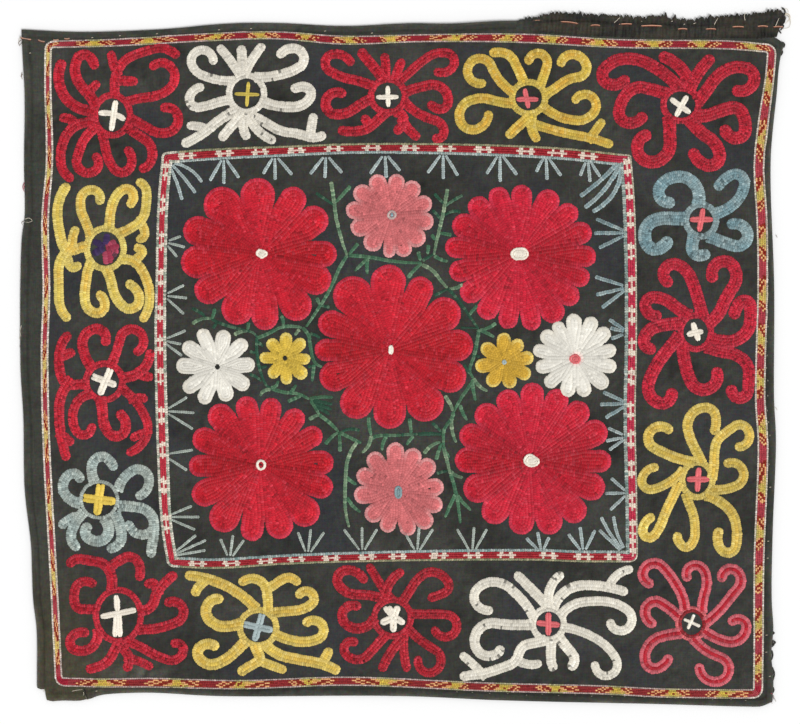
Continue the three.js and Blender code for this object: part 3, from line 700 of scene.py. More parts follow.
def tangents(p, closed=False):
    if closed:
        d = np.roll(p, -1, 0) - np.roll(p, 1, 0)
    else:
        d = np.gradient(p, axis=0)
    return d[:, :2] / np.maximum(np.hypot(d[:, 0], d[:, 1]), 1e-9)[:, None]


def side(shape, name, step=1.0, ends=True):
    order = ["left", "bottom", "right", "top"]
    i = order.index(name)
    a, b = shape["corners"][i], shape["corners"][(i + 1) % 4]
    rows = shape[name]
    extra = lambda c, r: tuple(c) + tuple(r[2:])
    return catmull([extra(a, rows[0])] + list(rows) + [extra(b, rows[-1])], step)


def loop(shape, leg, step=0.5):
    """The closed centre line of a trim, its corners eased over leg."""
    out = []
    parts = [side(shape, n, step) for n in ("left", "bottom", "right", "top")]
    parts = [at(p, np.arange(leg, arclen(p)[-1] - leg, step)) for p in parts]
    for i, p in enumerate(parts):
        out.append(p)
        q = parts[(i + 1) % 4]
        c = np.array(list(shape["corners"][(i + 1) % 4]) + [(p[-1, 2] + q[0, 2]) / 2])
        t = np.linspace(0, 1, int(2 * leg / step))[1:-1, None]
        out.append((1 - t) ** 2 * p[-1] + 2 * t * (1 - t) * c + t * t * q[0])
    return np.vstack(out)


def arcs(x, y, heading, pairs, step=0.7):
    """A chain of constant-curvature runs as a polyline."""
    pts, h = [(x, y)], math.radians(heading)
    for run, turn in pairs:
        n = max(3, int(math.ceil(run / step)))
        dh, ds = math.radians(turn) / n, run / n
        for _ in range(n):
            x, y = x + ds * math.cos(h + dh / 2), y + ds * math.sin(h + dh / 2)
            h += dh
            pts.append((x, y))
    return np.array(pts)


def offset(c, o):
    """The curve beside c, o to its left; folded-back points are dropped. o may change along the curve."""
    t = tangents(c)
    o = np.broadcast_to(o, len(c))
    q = c[:, :2] + np.stack([-t[:, 1], t[:, 0]], 1) * o[:, None]
    keep = [0]
    for i in range(1, len(q)):
        d = q[i] - q[keep[-1]]
        if d @ t[i] > 0.05:
            keep.append(i)
    return q[keep]


def band(c, w, n, back=1.5, taper=0.08, reach=0.0, flare=0.0):
    """Rows of a band with a round tip: nested U rows, and a middle row if n is odd. Returns (row, place 0 outside to 1 inside)."""
    t0, t1 = c[0] - c[1], c[-1] - c[-2]
    c = even(np.vstack([c[0] + t0 / np.hypot(*t0) * back, c, c[-1] + t1 / np.hypot(*t1) * reach]), 0.5)
    total = arclen(c)[-1]
    rw = w / n
    c = at(c, np.linspace(0, max(total - w * 0.42, total * 0.4), max(6, int(total / 0.5))))
    narrow = 1 - taper * np.linspace(0, 1, len(c)) ** 2 + flare * np.exp(-arclen(c) / 2.2)
    end, t = c[-1], tangents(c)[-1]
    rows = []
    for k in range(n // 2):
        o = w / 2 - (k + 0.5) * rw
        turn = np.linspace(math.pi / 2, -math.pi / 2, max(5, int(o * 3)))
        r = o * (1 - taper)
        cap = end + r * (np.cos(turn)[:, None] * t + np.sin(turn)[:, None] * np.array([-t[1], t[0]]))
        rows.append((np.vstack([offset(c, o * narrow), cap[1:-1], offset(c, -o * narrow)[::-1]]), k / max(1, (n - 1) / 2)))
    if n % 2:
        rows.append((np.vstack([c, end + t * (rw * 0.25 if n > 1 else w * 0.4)]), 1.0))
    return rows


def dist_in(x, y, poly, chunk=6000):
    """Distance to a closed outline, positive inside."""
    a = poly
    b = np.roll(poly, -1, 0)
    d = b - a
    l2 = (d ** 2).sum(1)
    out = np.empty(len(x))
    for i in range(0, len(x), chunk):
        px, py = x[i:i + chunk, None], y[i:i + chunk, None]
        t = np.clip(((px - a[:, 0]) * d[:, 0] + (py - a[:, 1]) * d[:, 1]) / l2, 0, 1)
        r = np.hypot(px - a[:, 0] - t * d[:, 0], py - a[:, 1] - t * d[:, 1]).min(1)
        cross = ((a[:, 1] > py) != (b[:, 1] > py)) & (px < d[:, 0] * (py - a[:, 1]) / np.where(d[:, 1] == 0, 1e-9, d[:, 1]) + a[:, 0])
        out[i:i + chunk] = np.where(cross.sum(1) % 2 == 1, r, -r)
    return out


OUTLINE = np.vstack([side(CLOTH, n, 2.0)[:-1] for n in ("left", "bottom", "right", "top")])
THICK = 1.0
hem_wave = field(21, 14, 12, 40)


def hem(depth, x, y):
    """Thickness of the ground at a distance in from its edge."""
    d = np.asarray(depth) * (1 + 0.10 * hem_wave(x, y))
    t = np.interp(d, [0, 0.3, 0.9, 1.8, 3.4, 4.1, 5.0, 99], [1.15, 1.65, 2.0, 2.15, 2.15, 1.85, THICK, THICK])
    open_hem = np.clip((x + 226) / 10, 0, 1) + np.clip((y + 240) / 10, 0, 1)       # the lower left corner's hem has come undone
    return THICK + (t - THICK) * np.clip(open_hem, 0, 1)


def cloth_top(x, y):
    """Height of the ground's upper face; the hem is only looked up near the edge."""
    x, y = np.asarray(x, float), np.asarray(y, float)
    z = np.full(x.shape, THICK)
    near = (np.abs(x) > 258) | (y > 228) | (y < -236)
    if near.any():
        z[near] = hem(np.maximum(dist_in(x[near], y[near], OUTLINE), 0), x[near], y[near])
    return 0.3 + lift(x, y) + z


# ---------------------------------------------------------------- meshes from arrays
def add_mesh(name, verts, quads, colours, uvs=None, smooth=True):
    """verts in mm; colours per corner, linear."""
    v = np.asarray(verts, float).copy()
    v[:, 0] += SHIFT[0]
    v[:, 1] += SHIFT[1]
    me = bpy.data.meshes.new(name)
    me.from_pydata((v * 0.001).tolist(), [], quads.tolist())
    attr = me.color_attributes.new("tint", "FLOAT_COLOR", "CORNER")
    rgba = np.ones((len(me.loops), 4), np.float32)
    rgba[:, :3] = np.clip(np.asarray(colours).reshape(-1, 3), 0, 1)
    attr.data.foreach_set("color", rgba.ravel())
    if uvs is not None:
        uv = me.uv_layers.new(name="rows")
        uv.data.foreach_set("uv", np.asarray(uvs, np.float32).ravel())
    me.polygons.foreach_set("use_smooth", np.full(len(me.polygons), smooth))
    me.update()
    ob = bpy.data.objects.new(name, me)
    scene.collection.objects.link(ob)
    return ob


ACROSS = np.array([-1.0, -0.56, 0.0, 0.56, 1.0])
PITCH = 1.72
BACKS = []


class Stitches:
    """Rows of chain stitch gathered into one mesh."""

    def __init__(self, name, seed=1):
        self.name, self.rng = name, np.random.default_rng(seed)
        self.v, self.q, self.c, self.uv, self.n, self.count = [], [], [], [], 0, 0

    def row(self, pts, w, ink, h=0.85, z=0.0, pitch=PITCH, closed=False, gain=None, chart=None, silk=0.10, ridge=1.0, back=True, full=1.28, rib=1.0,
            noise=0.085, split=0.0, pits=0.0):
        """pts: polyline. w: width, one number or one per point. gain: brightness per point. chart(s, p) gives each
        stitch's colour.
        full: how far a stitch swells past its row, so that neighbours press together. rib: depth of the painted shade
        between stitches and of the painted highlight on their legs.
        split: how far a stitch's two legs part and show the shade between them, in the geometry and as painted shade.
        pits: depth of the small dark gaps in and between stitches, painted shade at random corners.
        silk: how much lighter stitches that run up and down are drawn than those that run across, a painted sheen."""
        pts = np.asarray(pts, float)[:, :2]
        w = np.broadcast_to(np.asarray(w, float), len(pts)) * full
        g = np.ones(len(pts)) if gain is None else np.broadcast_to(gain, len(pts))
        data = np.column_stack([pts, w, g])
        if closed:
            data = np.vstack([data, data[:1]])
        total = arclen(data)[-1]
        if total < 0.8:
            return
        m = max(1, int(round(total / pitch)))
        along_s = np.linspace(0, total, 2 * m + 1)
        knots = max(3, int(total / 7) + 1)
        drift = self.rng.normal(0, 0.42 * total / m, knots)
        drift[[0, -1]] = 0
        if m > 4:
            along_s = np.maximum.accumulate(along_s + np.interp(along_s, np.linspace(0, total, knots), drift))
            along_s = np.clip(along_s, 0, total)
        rings = at(data, along_s)
        if closed:
            rings = rings[:-1]
        k = len(rings)
        t = tangents(rings[:, :2], closed)
        nrm = np.stack([-t[:, 1], t[:, 0]], 1)
        odd = np.arange(k) % 2 == 1
        jig = self.rng.normal(0, 1, (m + 1, 3))[np.arange(k) // 2]
        wf = np.where(odd, 1.0, 0.90) * (1 + 0.04 * jig[:, 0])
        hs = np.where(odd, 0.97, 0.62) * (1 + 0.08 * jig[:, 1])
        hc = np.where(odd, 0.72, 0.74) * (1 + 0.08 * jig[:, 1])
        if not closed:
            wf[[0, -1]] = 0.5
            hs[[0, -1]] = 0.25
            hc[[0, -1]] = 0.2
        half = rings[:, 2] / 2 * wf
        hh = h * np.minimum(1.0, np.sqrt(np.maximum(rings[:, 2], 0.05) / max(w.max(), 1e-6)))
        fore = np.where(odd, 0.36, 0.10) * (total / m)
        a = ACROSS[None, :]
        along = fore[:, None] * (1 - np.abs(a) ** 1.5) - 0.12 * (total / m) * np.abs(a)
        p = rings[:, None, :2] + nrm[:, None, :] * (half[:, None] * a + 0.03 * jig[:, 2:3] * rings[:, 2:3])[..., None] + t[:, None, :] * along[..., None]
        if not closed:
            p[[0, -1]] = (rings[:, None, :2] + nrm[:, None, :] * (half[:, None] * a)[..., None])[[0, -1]]
        hc = hc * (1 - 0.5 * split)
        prof = np.stack([np.zeros(k), hs * ridge, hc * ridge, hs * ridge, np.zeros(k)], 1) * hh[:, None] + z
        top = cloth_top(p[..., 0].ravel(), p[..., 1].ravel()).reshape(k, 5)
        zz = top + prof
        zz[:, [0, 4]] = top[:, [0, 4]] - 0.18
        base = self.n
        self.v.append(np.concatenate([p, zz[..., None]], 2).reshape(-1, 3))
        self.n += 5 * k
        gaps = k if closed else k - 1
        i = np.arange(gaps)
        j = (i + 1) % k
        col = np.arange(4)
        v00 = base + i[:, None] * 5 + col[None]
        v10 = base + j[:, None] * 5 + col[None]
        self.q.append(np.stack([v00, v10, v10 + 1, v00 + 1], 2).reshape(-1, 4))
        # colour: the whole stitch has its own shade, times a painted sheen by its heading, and a few stitches get a
        # painted glint; its corners are darker in the gaps, a painted shade, and lighter on the loop's legs, a painted
        # highlight
        st = i // 2
        n_st = int(st.max()) + 1
        mid = rings[np.minimum(2 * np.arange(n_st) + 1, k - 1)]
        if chart is None:
            ink_s = np.broadcast_to(np.asarray(ink, float), (n_st, 3)).copy()
        else:
            ink_s = np.asarray(chart((np.arange(n_st) + 0.5) * total / m, mid[:, :2]), float)
        tm = t[np.minimum(2 * np.arange(n_st) + 1, k - 1)]
        # painted sheen: stitches that run up and down are drawn lighter than those that run across, by silk
        heading_sheen = 1 + silk * (2 * (tm[:, 1] * 0.97 + tm[:, 0] * 0.2) ** 2 - 1)
        shade = (1 + self.rng.normal(0, noise, n_st)) * heading_sheen * mid[:, 3]
        ink_s = ink_s * shade[:, None]
        glint = self.rng.uniform(0, 1, n_st) > 0.93
        ink_s[glint] = ink_s[glint] * 1.14
        fa = 1 - rib * np.array([0.34, 0.28, 0.30, 0.28, 0.34])
        fb = 1 + rib * np.array([-0.02, 0.24, 0.16, 0.24, -0.02])
        fa[2] *= 1 - 0.5 * split
        fb[2] *= 1 - 0.62 * split
        vf = np.where(odd[:, None], fb, fa)
        if pits:
            vf = vf * (1 - pits * np.clip(self.rng.normal(0, 1, vf.shape), 0, 1.8))
        corner = np.stack([vf[i][:, :4], vf[j][:, :4], vf[j][:, 1:], vf[i][:, 1:]], 2)
        self.c.append((corner[..., None] * ink_s[st][:, None, None, :]).reshape(-1, 3))
        s = np.arange(k + 1) * total / m / 2
        ua = np.stack([s[i], s[i + 1], s[i + 1], s[i]], 1)[:, None, :] + np.zeros((1, 4, 1))
        va = np.stack([a[0, :4], a[0, :4], a[0, 1:], a[0, 1:]], 1)[None] * (w.mean() / 2) + np.zeros((gaps, 1, 1)) + self.rng.uniform(0, 300)
        self.uv.append(np.stack([ua, va], 3).reshape(-1, 2))
        self.count += m
        if back and total > 4:
            BACKS.append((even(np.vstack([pts, pts[:1]]) if closed else pts, 6.0), ink_s.mean(0)))

    def under(self, line, middle, ink, z=0.12, closed=False):
        """A thin layer of thread from a line in to a middle point, so that no bare cloth shows between rows."""
        line = np.asarray(line, float)[:, :2]
        if closed:
            line = np.vstack([line, line[:1]])
        steps = np.array([1.0, 0.5, 0.02])
        p = middle + (line[:, None] - middle) * steps[None, :, None]
        k = len(line)
        top = cloth_top(p[..., 0].ravel(), p[..., 1].ravel()) + z
        top.reshape(k, 3)[:, 0] -= z + 0.1
        i = np.arange(k - 1)
        a = self.n + i[:, None] * 3 + np.arange(2)[None]
        self.v.append(np.column_stack([p.reshape(-1, 2), top]))
        self.q.append(np.stack([a, a + 3, a + 4, a + 1], 2).reshape(-1, 4))
        self.c.append(np.repeat(np.asarray(ink, float)[None], 8 * (k - 1), 0))
        self.uv.append(np.repeat(p[:-1, :2].reshape(-1, 2), 4, 0))
        self.n += 3 * k

    def build(self):
        return add_mesh(self.name, np.vstack(self.v), np.vstack(self.q), np.vstack(self.c), np.vstack(self.uv))


def tube(path, radius, sides=6, taper=False):
    """A round thread along a 3-D path in mm: verts and quads, ends closed to a point."""
    p = np.asarray(path, float)
    t = np.gradient(p, axis=0)
    t /= np.linalg.norm(t, axis=1)[:, None]
    ref = np.array([0, 0, 1.0])
    a = np.cross(t, ref)
    a /= np.maximum(np.linalg.norm(a, axis=1), 1e-6)[:, None]
    b = np.cross(a, t)
    r = np.full(len(p), radius)
    r[0] *= 0.15
    r[-1] *= 0.15
    if taper:
        r *= np.linspace(1, 0.5, len(p))
    ang = np.arange(sides) * 2 * math.pi / sides
    v = p[:, None] + r[:, None, None] * (np.cos(ang)[None, :, None] * a[:, None] + np.sin(ang)[None, :, None] * b[:, None])
    n = len(p)
    i, j = np.meshgrid(np.arange(n - 1), np.arange(sides), indexing="ij")
    k = (j + 1) % sides
    q = np.stack([i * sides + j, i * sides + k, (i + 1) * sides + k, (i + 1) * sides + j], -1).reshape(-1, 4)
    return v.reshape(-1, 3), q


class Threads:
    def __init__(self, name):
        self.name, self.v, self.q, self.c, self.uv, self.n = name, [], [], [], [], 0

    def add(self, path, radius, ink, taper=False, sides=6):
        v, q = tube(path, radius, sides, taper)
        self.v.append(v)
        self.q.append(q + self.n)
        self.n += len(v)
        self.c.append(np.broadcast_to(np.asarray(ink, float), (len(q) * 4, 3)))
        self.uv.append(np.stack([np.repeat(np.arange(len(q)), 4) * 0.2, np.tile([0, 0, 1, 1], len(q)) * 0.3], 1))

    def build(self):
        return add_mesh(self.name, np.vstack(self.v), np.vstack(self.q), np.vstack(self.c), np.vstack(self.uv))


# ---------------------------------------------------------------- materials
def nodes_of(name):
    m = bpy.data.materials.new(name)
    m.use_nodes = True
    nt = m.node_tree
    return m, nt, nt.nodes["Principled BSDF"]


def silk_material(name, rough=0.48, sheen=0.25, sheen_tint=(1, 0.9, 0.88), amount=0.16, bump=0.35):
    """Twisted silk: the stitch colour from the mesh, fibres along each row, uneven dye."""
    m, nt, bsdf = nodes_of(name)
    link = nt.links.new
    tint = nt.nodes.new("ShaderNodeAttribute")
    tint.attribute_name = "tint"
    uv = nt.nodes.new("ShaderNodeUVMap")
    uv.uv_map = "rows"
    stretch = nt.nodes.new("ShaderNodeMapping")
    stretch.inputs["Scale"].default_value = (0.9, 5.5, 1.0)
    stretch.inputs["Rotation"].default_value = (0, 0, math.radians(8))
    link(uv.outputs["UV"], stretch.inputs["Vector"])
    fibre = nt.nodes.new("ShaderNodeTexNoise")
    fibre.inputs["Scale"].default_value = 1.6
    fibre.inputs["Detail"].default_value = 3.0
    fibre.inputs["Roughness"].default_value = 0.6
    link(stretch.outputs["Vector"], fibre.inputs["Vector"])
    coord = nt.nodes.new("ShaderNodeTexCoord")
    dye = nt.nodes.new("ShaderNodeTexNoise")
    dye.inputs["Scale"].default_value = 95.0
    dye.inputs["Detail"].default_value = 4.0
    link(coord.outputs["Object"], dye.inputs["Vector"])
    both = nt.nodes.new("ShaderNodeMath")
    both.operation = "MULTIPLY_ADD"
    link(fibre.outputs["Fac"], both.inputs[0])
    both.inputs[1].default_value = 0.6
    half = nt.nodes.new("ShaderNodeMath")
    half.operation = "MULTIPLY"
    link(dye.outputs["Fac"], half.inputs[0])
    half.inputs[1].default_value = 0.4
    link(half.outputs[0], both.inputs[2])
    span = nt.nodes.new("ShaderNodeMapRange")
    span.inputs["From Min"].default_value = 0.3
    span.inputs["From Max"].default_value = 0.7
    span.inputs["To Min"].default_value = 1 - amount
    span.inputs["To Max"].default_value = 1 + amount
    link(both.outputs[0], span.inputs["Value"])
    mul = nt.nodes.new("ShaderNodeVectorMath")
    mul.operation = "SCALE"
    link(tint.outputs["Color"], mul.inputs[0])
    link(span.outputs["Result"], mul.inputs["Scale"])
    link(mul.outputs["Vector"], bsdf.inputs["Base Color"])
    rr = nt.nodes.new("ShaderNodeMapRange")
    rr.inputs["To Min"].default_value = rough - 0.08
    rr.inputs["To Max"].default_value = rough + 0.12
    link(fibre.outputs["Fac"], rr.inputs["Value"])
    link(rr.outputs["Result"], bsdf.inputs["Roughness"])
    bp = nt.nodes.new("ShaderNodeBump")
    bp.inputs["Strength"].default_value = bump
    bp.inputs["Distance"].default_value = 0.00025
    link(fibre.outputs["Fac"], bp.inputs["Height"])
    link(bp.outputs["Normal"], bsdf.inputs["Normal"])
    bsdf.inputs["Specular IOR Level"].default_value = 0.22
    bsdf.inputs["Sheen Weight"].default_value = sheen
    bsdf.inputs["Sheen Roughness"].default_value = 0.35
    bsdf.inputs["Sheen Tint"].default_value = (*sheen_tint, 1)
    return m


def cloth_material(name, weave=2400.0, rough=0.92, sheen=0.08, slub=0.20):
    """Plain-woven cotton: two crossed sets of threads with slubs, faded and lightly soiled."""
    m, nt, bsdf = nodes_of(name)
    link = nt.links.new
    tint = nt.nodes.new("ShaderNodeAttribute")
    tint.attribute_name = "tint"
    coord = nt.nodes.new("ShaderNodeTexCoord")
    sets = []
    for axis, (sx, sy) in (("X", (1.0, 0.06)), ("Y", (0.06, 1.0))):
        mp = nt.nodes.new("ShaderNodeMapping")
        mp.inputs["Scale"].default_value = (sx * 1500, sy * 1500, 1500 * 0.06)
        link(coord.outputs["Object"], mp.inputs["Vector"])
        nz = nt.nodes.new("ShaderNodeTexNoise")
        nz.inputs["Scale"].default_value = 1.0
        nz.inputs["Detail"].default_value = 2.0
        link(mp.outputs["Vector"], nz.inputs["Vector"])
        wv = nt.nodes.new("ShaderNodeTexWave")
        wv.bands_direction = axis
        wv.inputs["Scale"].default_value = weave / 6.28
        wv.inputs["Distortion"].default_value = 0.6
        wv.inputs["Detail"].default_value = 1.0
        link(coord.outputs["Object"], wv.inputs["Vector"])
        sets.append((nz, wv))
    add = nt.nodes.new("ShaderNodeMath")
    add.operation = "ADD"
    link(sets[0][0].outputs["Fac"], add.inputs[0])
    link(sets[1][0].outputs["Fac"], add.inputs[1])
    wide = nt.nodes.new("ShaderNodeTexNoise")
    wide.inputs["Scale"].default_value = 60.0
    wide.inputs["Detail"].default_value = 6.0
    wide.inputs["Roughness"].default_value = 0.65
    link(coord.outputs["Object"], wide.inputs["Vector"])
    add2 = nt.nodes.new("ShaderNodeMath")
    add2.operation = "ADD"
    link(add.outputs[0], add2.inputs[0])
    link(wide.outputs["Fac"], add2.inputs[1])
    span = nt.nodes.new("ShaderNodeMapRange")
    span.inputs["From Min"].default_value = 1.1
    span.inputs["From Max"].default_value = 1.9
    span.inputs["To Min"].default_value = 1 - slub
    span.inputs["To Max"].default_value = 1 + slub
    link(add2.outputs[0], span.inputs["Value"])
    mul = nt.nodes.new("ShaderNodeVectorMath")
    mul.operation = "SCALE"
    link(tint.outputs["Color"], mul.inputs[0])
    link(span.outputs["Result"], mul.inputs["Scale"])
    # a grain of greener, browner and violet threads where the dye has worn unevenly
    grain = nt.nodes.new("ShaderNodeTexNoise")
    grain.inputs["Scale"].default_value = 520.0
    grain.inputs["Detail"].default_value = 3.0
    grain.inputs["Roughness"].default_value = 0.75
    link(coord.outputs["Object"], grain.inputs["Vector"])
    ramp = nt.nodes.new("ShaderNodeVectorMath")
    ramp.operation = "MULTIPLY_ADD"
    ramp.inputs[1].default_value = (1.7, 1.5, 1.7)
    ramp.inputs[2].default_value = (0.15, 0.25, 0.15)
    link(grain.outputs["Color"], ramp.inputs[0])
    dye = nt.nodes.new("ShaderNodeVectorMath")
    dye.operation = "MULTIPLY"
    link(mul.outputs["Vector"], dye.inputs[0])
    link(ramp.outputs["Vector"], dye.inputs[1])
    link(dye.outputs["Vector"], bsdf.inputs["Base Color"])
    over = nt.nodes.new("ShaderNodeMath")
    over.operation = "MAXIMUM"
    link(sets[0][1].outputs["Fac"], over.inputs[0])
    link(sets[1][1].outputs["Fac"], over.inputs[1])
    hsum = nt.nodes.new("ShaderNodeMath")
    hsum.operation = "ADD"
    link(over.outputs[0], hsum.inputs[0])
    link(add.outputs[0], hsum.inputs[1])
    bp = nt.nodes.new("ShaderNodeBump")
    bp.inputs["Strength"].default_value = 0.5
    bp.inputs["Distance"].default_value = 0.0002
    link(hsum.outputs[0], bp.inputs["Height"])
    link(bp.outputs["Normal"], bsdf.inputs["Normal"])
    bsdf.inputs["Roughness"].default_value = rough
    bsdf.inputs["Specular IOR Level"].default_value = 0.15
    bsdf.inputs["Sheen Weight"].default_value = sheen
    bsdf.inputs["Sheen Roughness"].default_value = 0.5
    return m


MAT = {
    "ground_cloth": cloth_material("black_cotton"),
    "heading_strip": cloth_material("strip_cotton", slub=0.28),
    "silk_red": silk_material("red_silk", sheen=0.06, sheen_tint=(1, 0.5, 0.5)),
    "silk_pink": silk_material("pink_silk", sheen=0.15, sheen_tint=(1, 0.8, 0.8)),
    "silk_yellow": silk_material("yellow_silk", sheen=0.12, sheen_tint=(1, 0.9, 0.5)),
    "silk_cream": silk_material("cream_silk", sheen=0.15, sheen_tint=(1, 1, 0.97), amount=0.08),
    "silk_blue_grey": silk_material("blue_grey_silk", sheen_tint=(0.9, 1, 1), amount=0.22),
    "silk_green": silk_material("green_silk", sheen_tint=(0.8, 1, 0.85), amount=0.22),
    "outer_trim": silk_material("outer_trim_silk", amount=0.14),
    "inner_trim": silk_material("inner_trim_silk", amount=0.14),
    "sewing_thread": silk_material("sewing_thread", rough=0.7, sheen=0.1, bump=0.2),
}
PIECES = []


def finish_piece(ob, slot):
    ob.data.materials.append(MAT[slot])
    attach(ob, "root")
    PIECES.append(ob)
    return ob


# ---------------------------------------------------------------- ground
def graded(total, fine, step):
    """Fractions 0 to 1, close together at both ends."""
    f = np.array(fine)
    n = max(2, int(round((total - 2 * f[-1]) / step)))
    inner = np.linspace(f[-1], total - f[-1], n + 1)[1:-1]
    return np.concatenate([f, inner, total - f[::-1]]) / total


def coons(u, v):
    left = side(CLOTH, "left", 1.0)[::-1]
    bottom = side(CLOTH, "bottom", 1.0)
    right = side(CLOTH, "right", 1.0)
    top = side(CLOTH, "top", 1.0)[::-1]
    g = lambda c, f: at(c, f * arclen(c)[-1])
    L, R, B, T = g(left, v), g(right, v), g(bottom, u), g(top, u)
    U, V = np.meshgrid(u, v, indexing="ij")
    U, V = U[..., None], V[..., None]
    return ((1 - V) * B[:, None] + V * T[:, None] + (1 - U) * L[None] + U * R[None]
            - ((1 - U) * (1 - V) * B[0] + U * (1 - V) * B[-1] + (1 - U) * V * T[0] + U * V * T[-1]))


def grid_quads(n, m, flip=False, base=0):
    i, j = np.meshgrid(np.arange(n - 1), np.arange(m - 1), indexing="ij")
    q = np.stack([i * m + j, (i + 1) * m + j, (i + 1) * m + j + 1, i * m + j + 1], -1).reshape(-1, 4) + base
    return q[:, ::-1] if flip else q


def border(n, m):
    """Indices of a grid's rim, anticlockwise."""
    return np.concatenate([np.arange(n) * m, (n - 1) * m + np.arange(1, m), (np.arange(n - 2, -1, -1)) * m + m - 1, np.arange(m - 2, 0, -1)])


def shell(xy, top, low, bulge=0.35):
    """A closed sheet from a grid: top and low heights, and a rounded rim between them."""
    n, m = xy.shape[:2]
    p = xy.reshape(-1, 2)
    rim = border(n, m)
    q = p[rim]
    t = tangents(q, True)
    out = q + np.stack([t[:, 1], -t[:, 0]], 1) * bulge
    mid = np.column_stack([out, (top.ravel()[rim] + low.ravel()[rim]) / 2])
    v = np.vstack([np.column_stack([p, top.ravel()]), np.column_stack([p, low.ravel()]), mid])
    k, b = n * m, 2 * n * m
    r = np.arange(len(rim))
    s = (r + 1) % len(rim)
    quads = np.vstack([
        grid_quads(n, m), grid_quads(n, m, True, k),
        np.stack([k + rim[r], k + rim[s], b + s, b + r], 1), np.stack([b + r, b + s, rim[s], rim[r]], 1)])
    return v, quads


def stain(x, y, cx, cy, rx, ry):
    return np.exp(-((x - cx) / rx) ** 2 - ((y - cy) / ry) ** 2)


TRIM_LINE = loop(OUTER, 6.0, 4.0)[:, :2]


def ground_colour(x, y):
    """The field has kept its black; the margin outside the trim has faded."""
    inside = np.clip((dist_in(x, y, TRIM_LINE) + 1) / 5, 0, 1)[:, None]
    c = mix(INK["margin"], INK["cloth"], inside) * (1 + (0.10 + 0.04 * inside[:, 0]) * mottle(x, y) + (0.07 + 0.05 * inside[:, 0]) * speckle(x, y))[:, None]
    blue = np.clip(0.35 * mottle(y * 0.7 + 50, x * 0.7), 0, 0.5)[:, None] * inside
    c = mix(c, lin("34363c")[None], blue)
    olive = stain(x, y, -262, -215, 26, 46) * 0.8 + stain(x, y, -230, -235, 40, 18) * 0.5 + stain(x, y, -255, -255, 22, 8) * 0.8
    c = mix(c, lin("474334")[None] * (1 + 0.1 * speckle(x, y))[:, None], np.clip(olive, 0, 1)[:, None])
    pale = stain(x, y, -198, -236, 18, 5) * (0.5 + 0.5 * speckle(x, y)).clip(0, 1)
    c = mix(c, lin("77766c")[None], np.clip(pale * 0.5, 0, 1)[:, None])
    # painted shade along the soft fold line near x -12, and a darker patch near the left edge at y -124
    crease = np.exp(-((x + 12.0 + 0.012 * y) / 3.2) ** 2) * (0.5 + 0.5 * np.tanh((np.abs(y + 10) - 120) / 30))
    return c * (1 - 0.14 * crease - 0.16 * stain(x, y, -276, -124, 9, 36))[:, None]


def make_ground():
    fine = [0, 0.35, 0.9, 1.8, 2.9, 3.9, 4.6, 5.4, 7.5, 10.0]
    xy = coons(graded(560, fine, 4.2), graded(500, fine, 4.2))
    x, y = xy[..., 0].ravel(), xy[..., 1].ravel()
    top = cloth_top(x, y).reshape(xy.shape[:2])
    low = (0.3 + lift(x, y)).reshape(xy.shape[:2])
    v, q = shell(xy, top, low)
    c = ground_colour(v[:, 0], v[:, 1])
    # the fold's crest catches dust and wears paler
    d = dist_in(v[:, 0], v[:, 1], OUTLINE)
    wear = np.exp(-((d - 0.6) / 0.9) ** 2) * 0.35 * (0.6 + 0.4 * hem_wave(v[:, 0], v[:, 1]))
    c = mix(c, lin("6a675c")[None], np.clip(wear, 0, 1)[:, None] * (d[:, None] > -1))
    # painted shade in a line just inside the hem's turned-in edge, where the hem steps down
    hem_step_shade = np.exp(-((d - 5.1) / 0.7) ** 2) * 0.35
    c = c * (1 - hem_step_shade[:, None])
    return add_mesh("ground", v, q, c[q].reshape(-1, 3))


ground = finish_piece(make_ground(), "ground_cloth")
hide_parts("ground_cloth")


# ---------------------------------------------------------------- reading the tables
def words(text):
    return [line.split() for line in text.strip().splitlines()]


def groups(text):
    out = []
    for w in words(text):
        if w[0] == "@":
            out.append((w[1], [float(v) for v in w[2:]], []))
        else:
            out[-1][2].append(w)
    return out


# ---------------------------------------------------------------- outer trim
def nearest(line, x, y):
    return int(np.argmin(np.hypot(line[:, 0] - x, line[:, 1] - y)))


def block_marks(text, line, guess, kinds=None):
    s = arclen(np.vstack([line, line[:1]]))
    marks = []
    for w in words(text):
        vals = [float(v) for v in w[(2 if kinds else 1):]]
        for v in vals:
            x, y = (v, guess[w[0]]) if w[0] in ("top", "bottom") else (guess[w[0]], v)
            marks.append((s[nearest(line, x, y)], w[1] if kinds else "h"))
    return sorted(marks), s[-1]


# The step from a crimson block to a yellow one, as worked: four rows, the outermost last.
# C crimson, B brick, P peach, Y yellow, G olive.
TO_YELLOW = ["BPBBPY", "PBPBBP", "CPBPBB", "CCPBPB"]
TO_CRIMSON = ["BBPBPC", "PBBPBC", "YPBBPB", "YGPPBB"]
THREADS = {"C": "crimson", "B": "brick", "P": "peach", "Y": "lime", "G": "olive"}


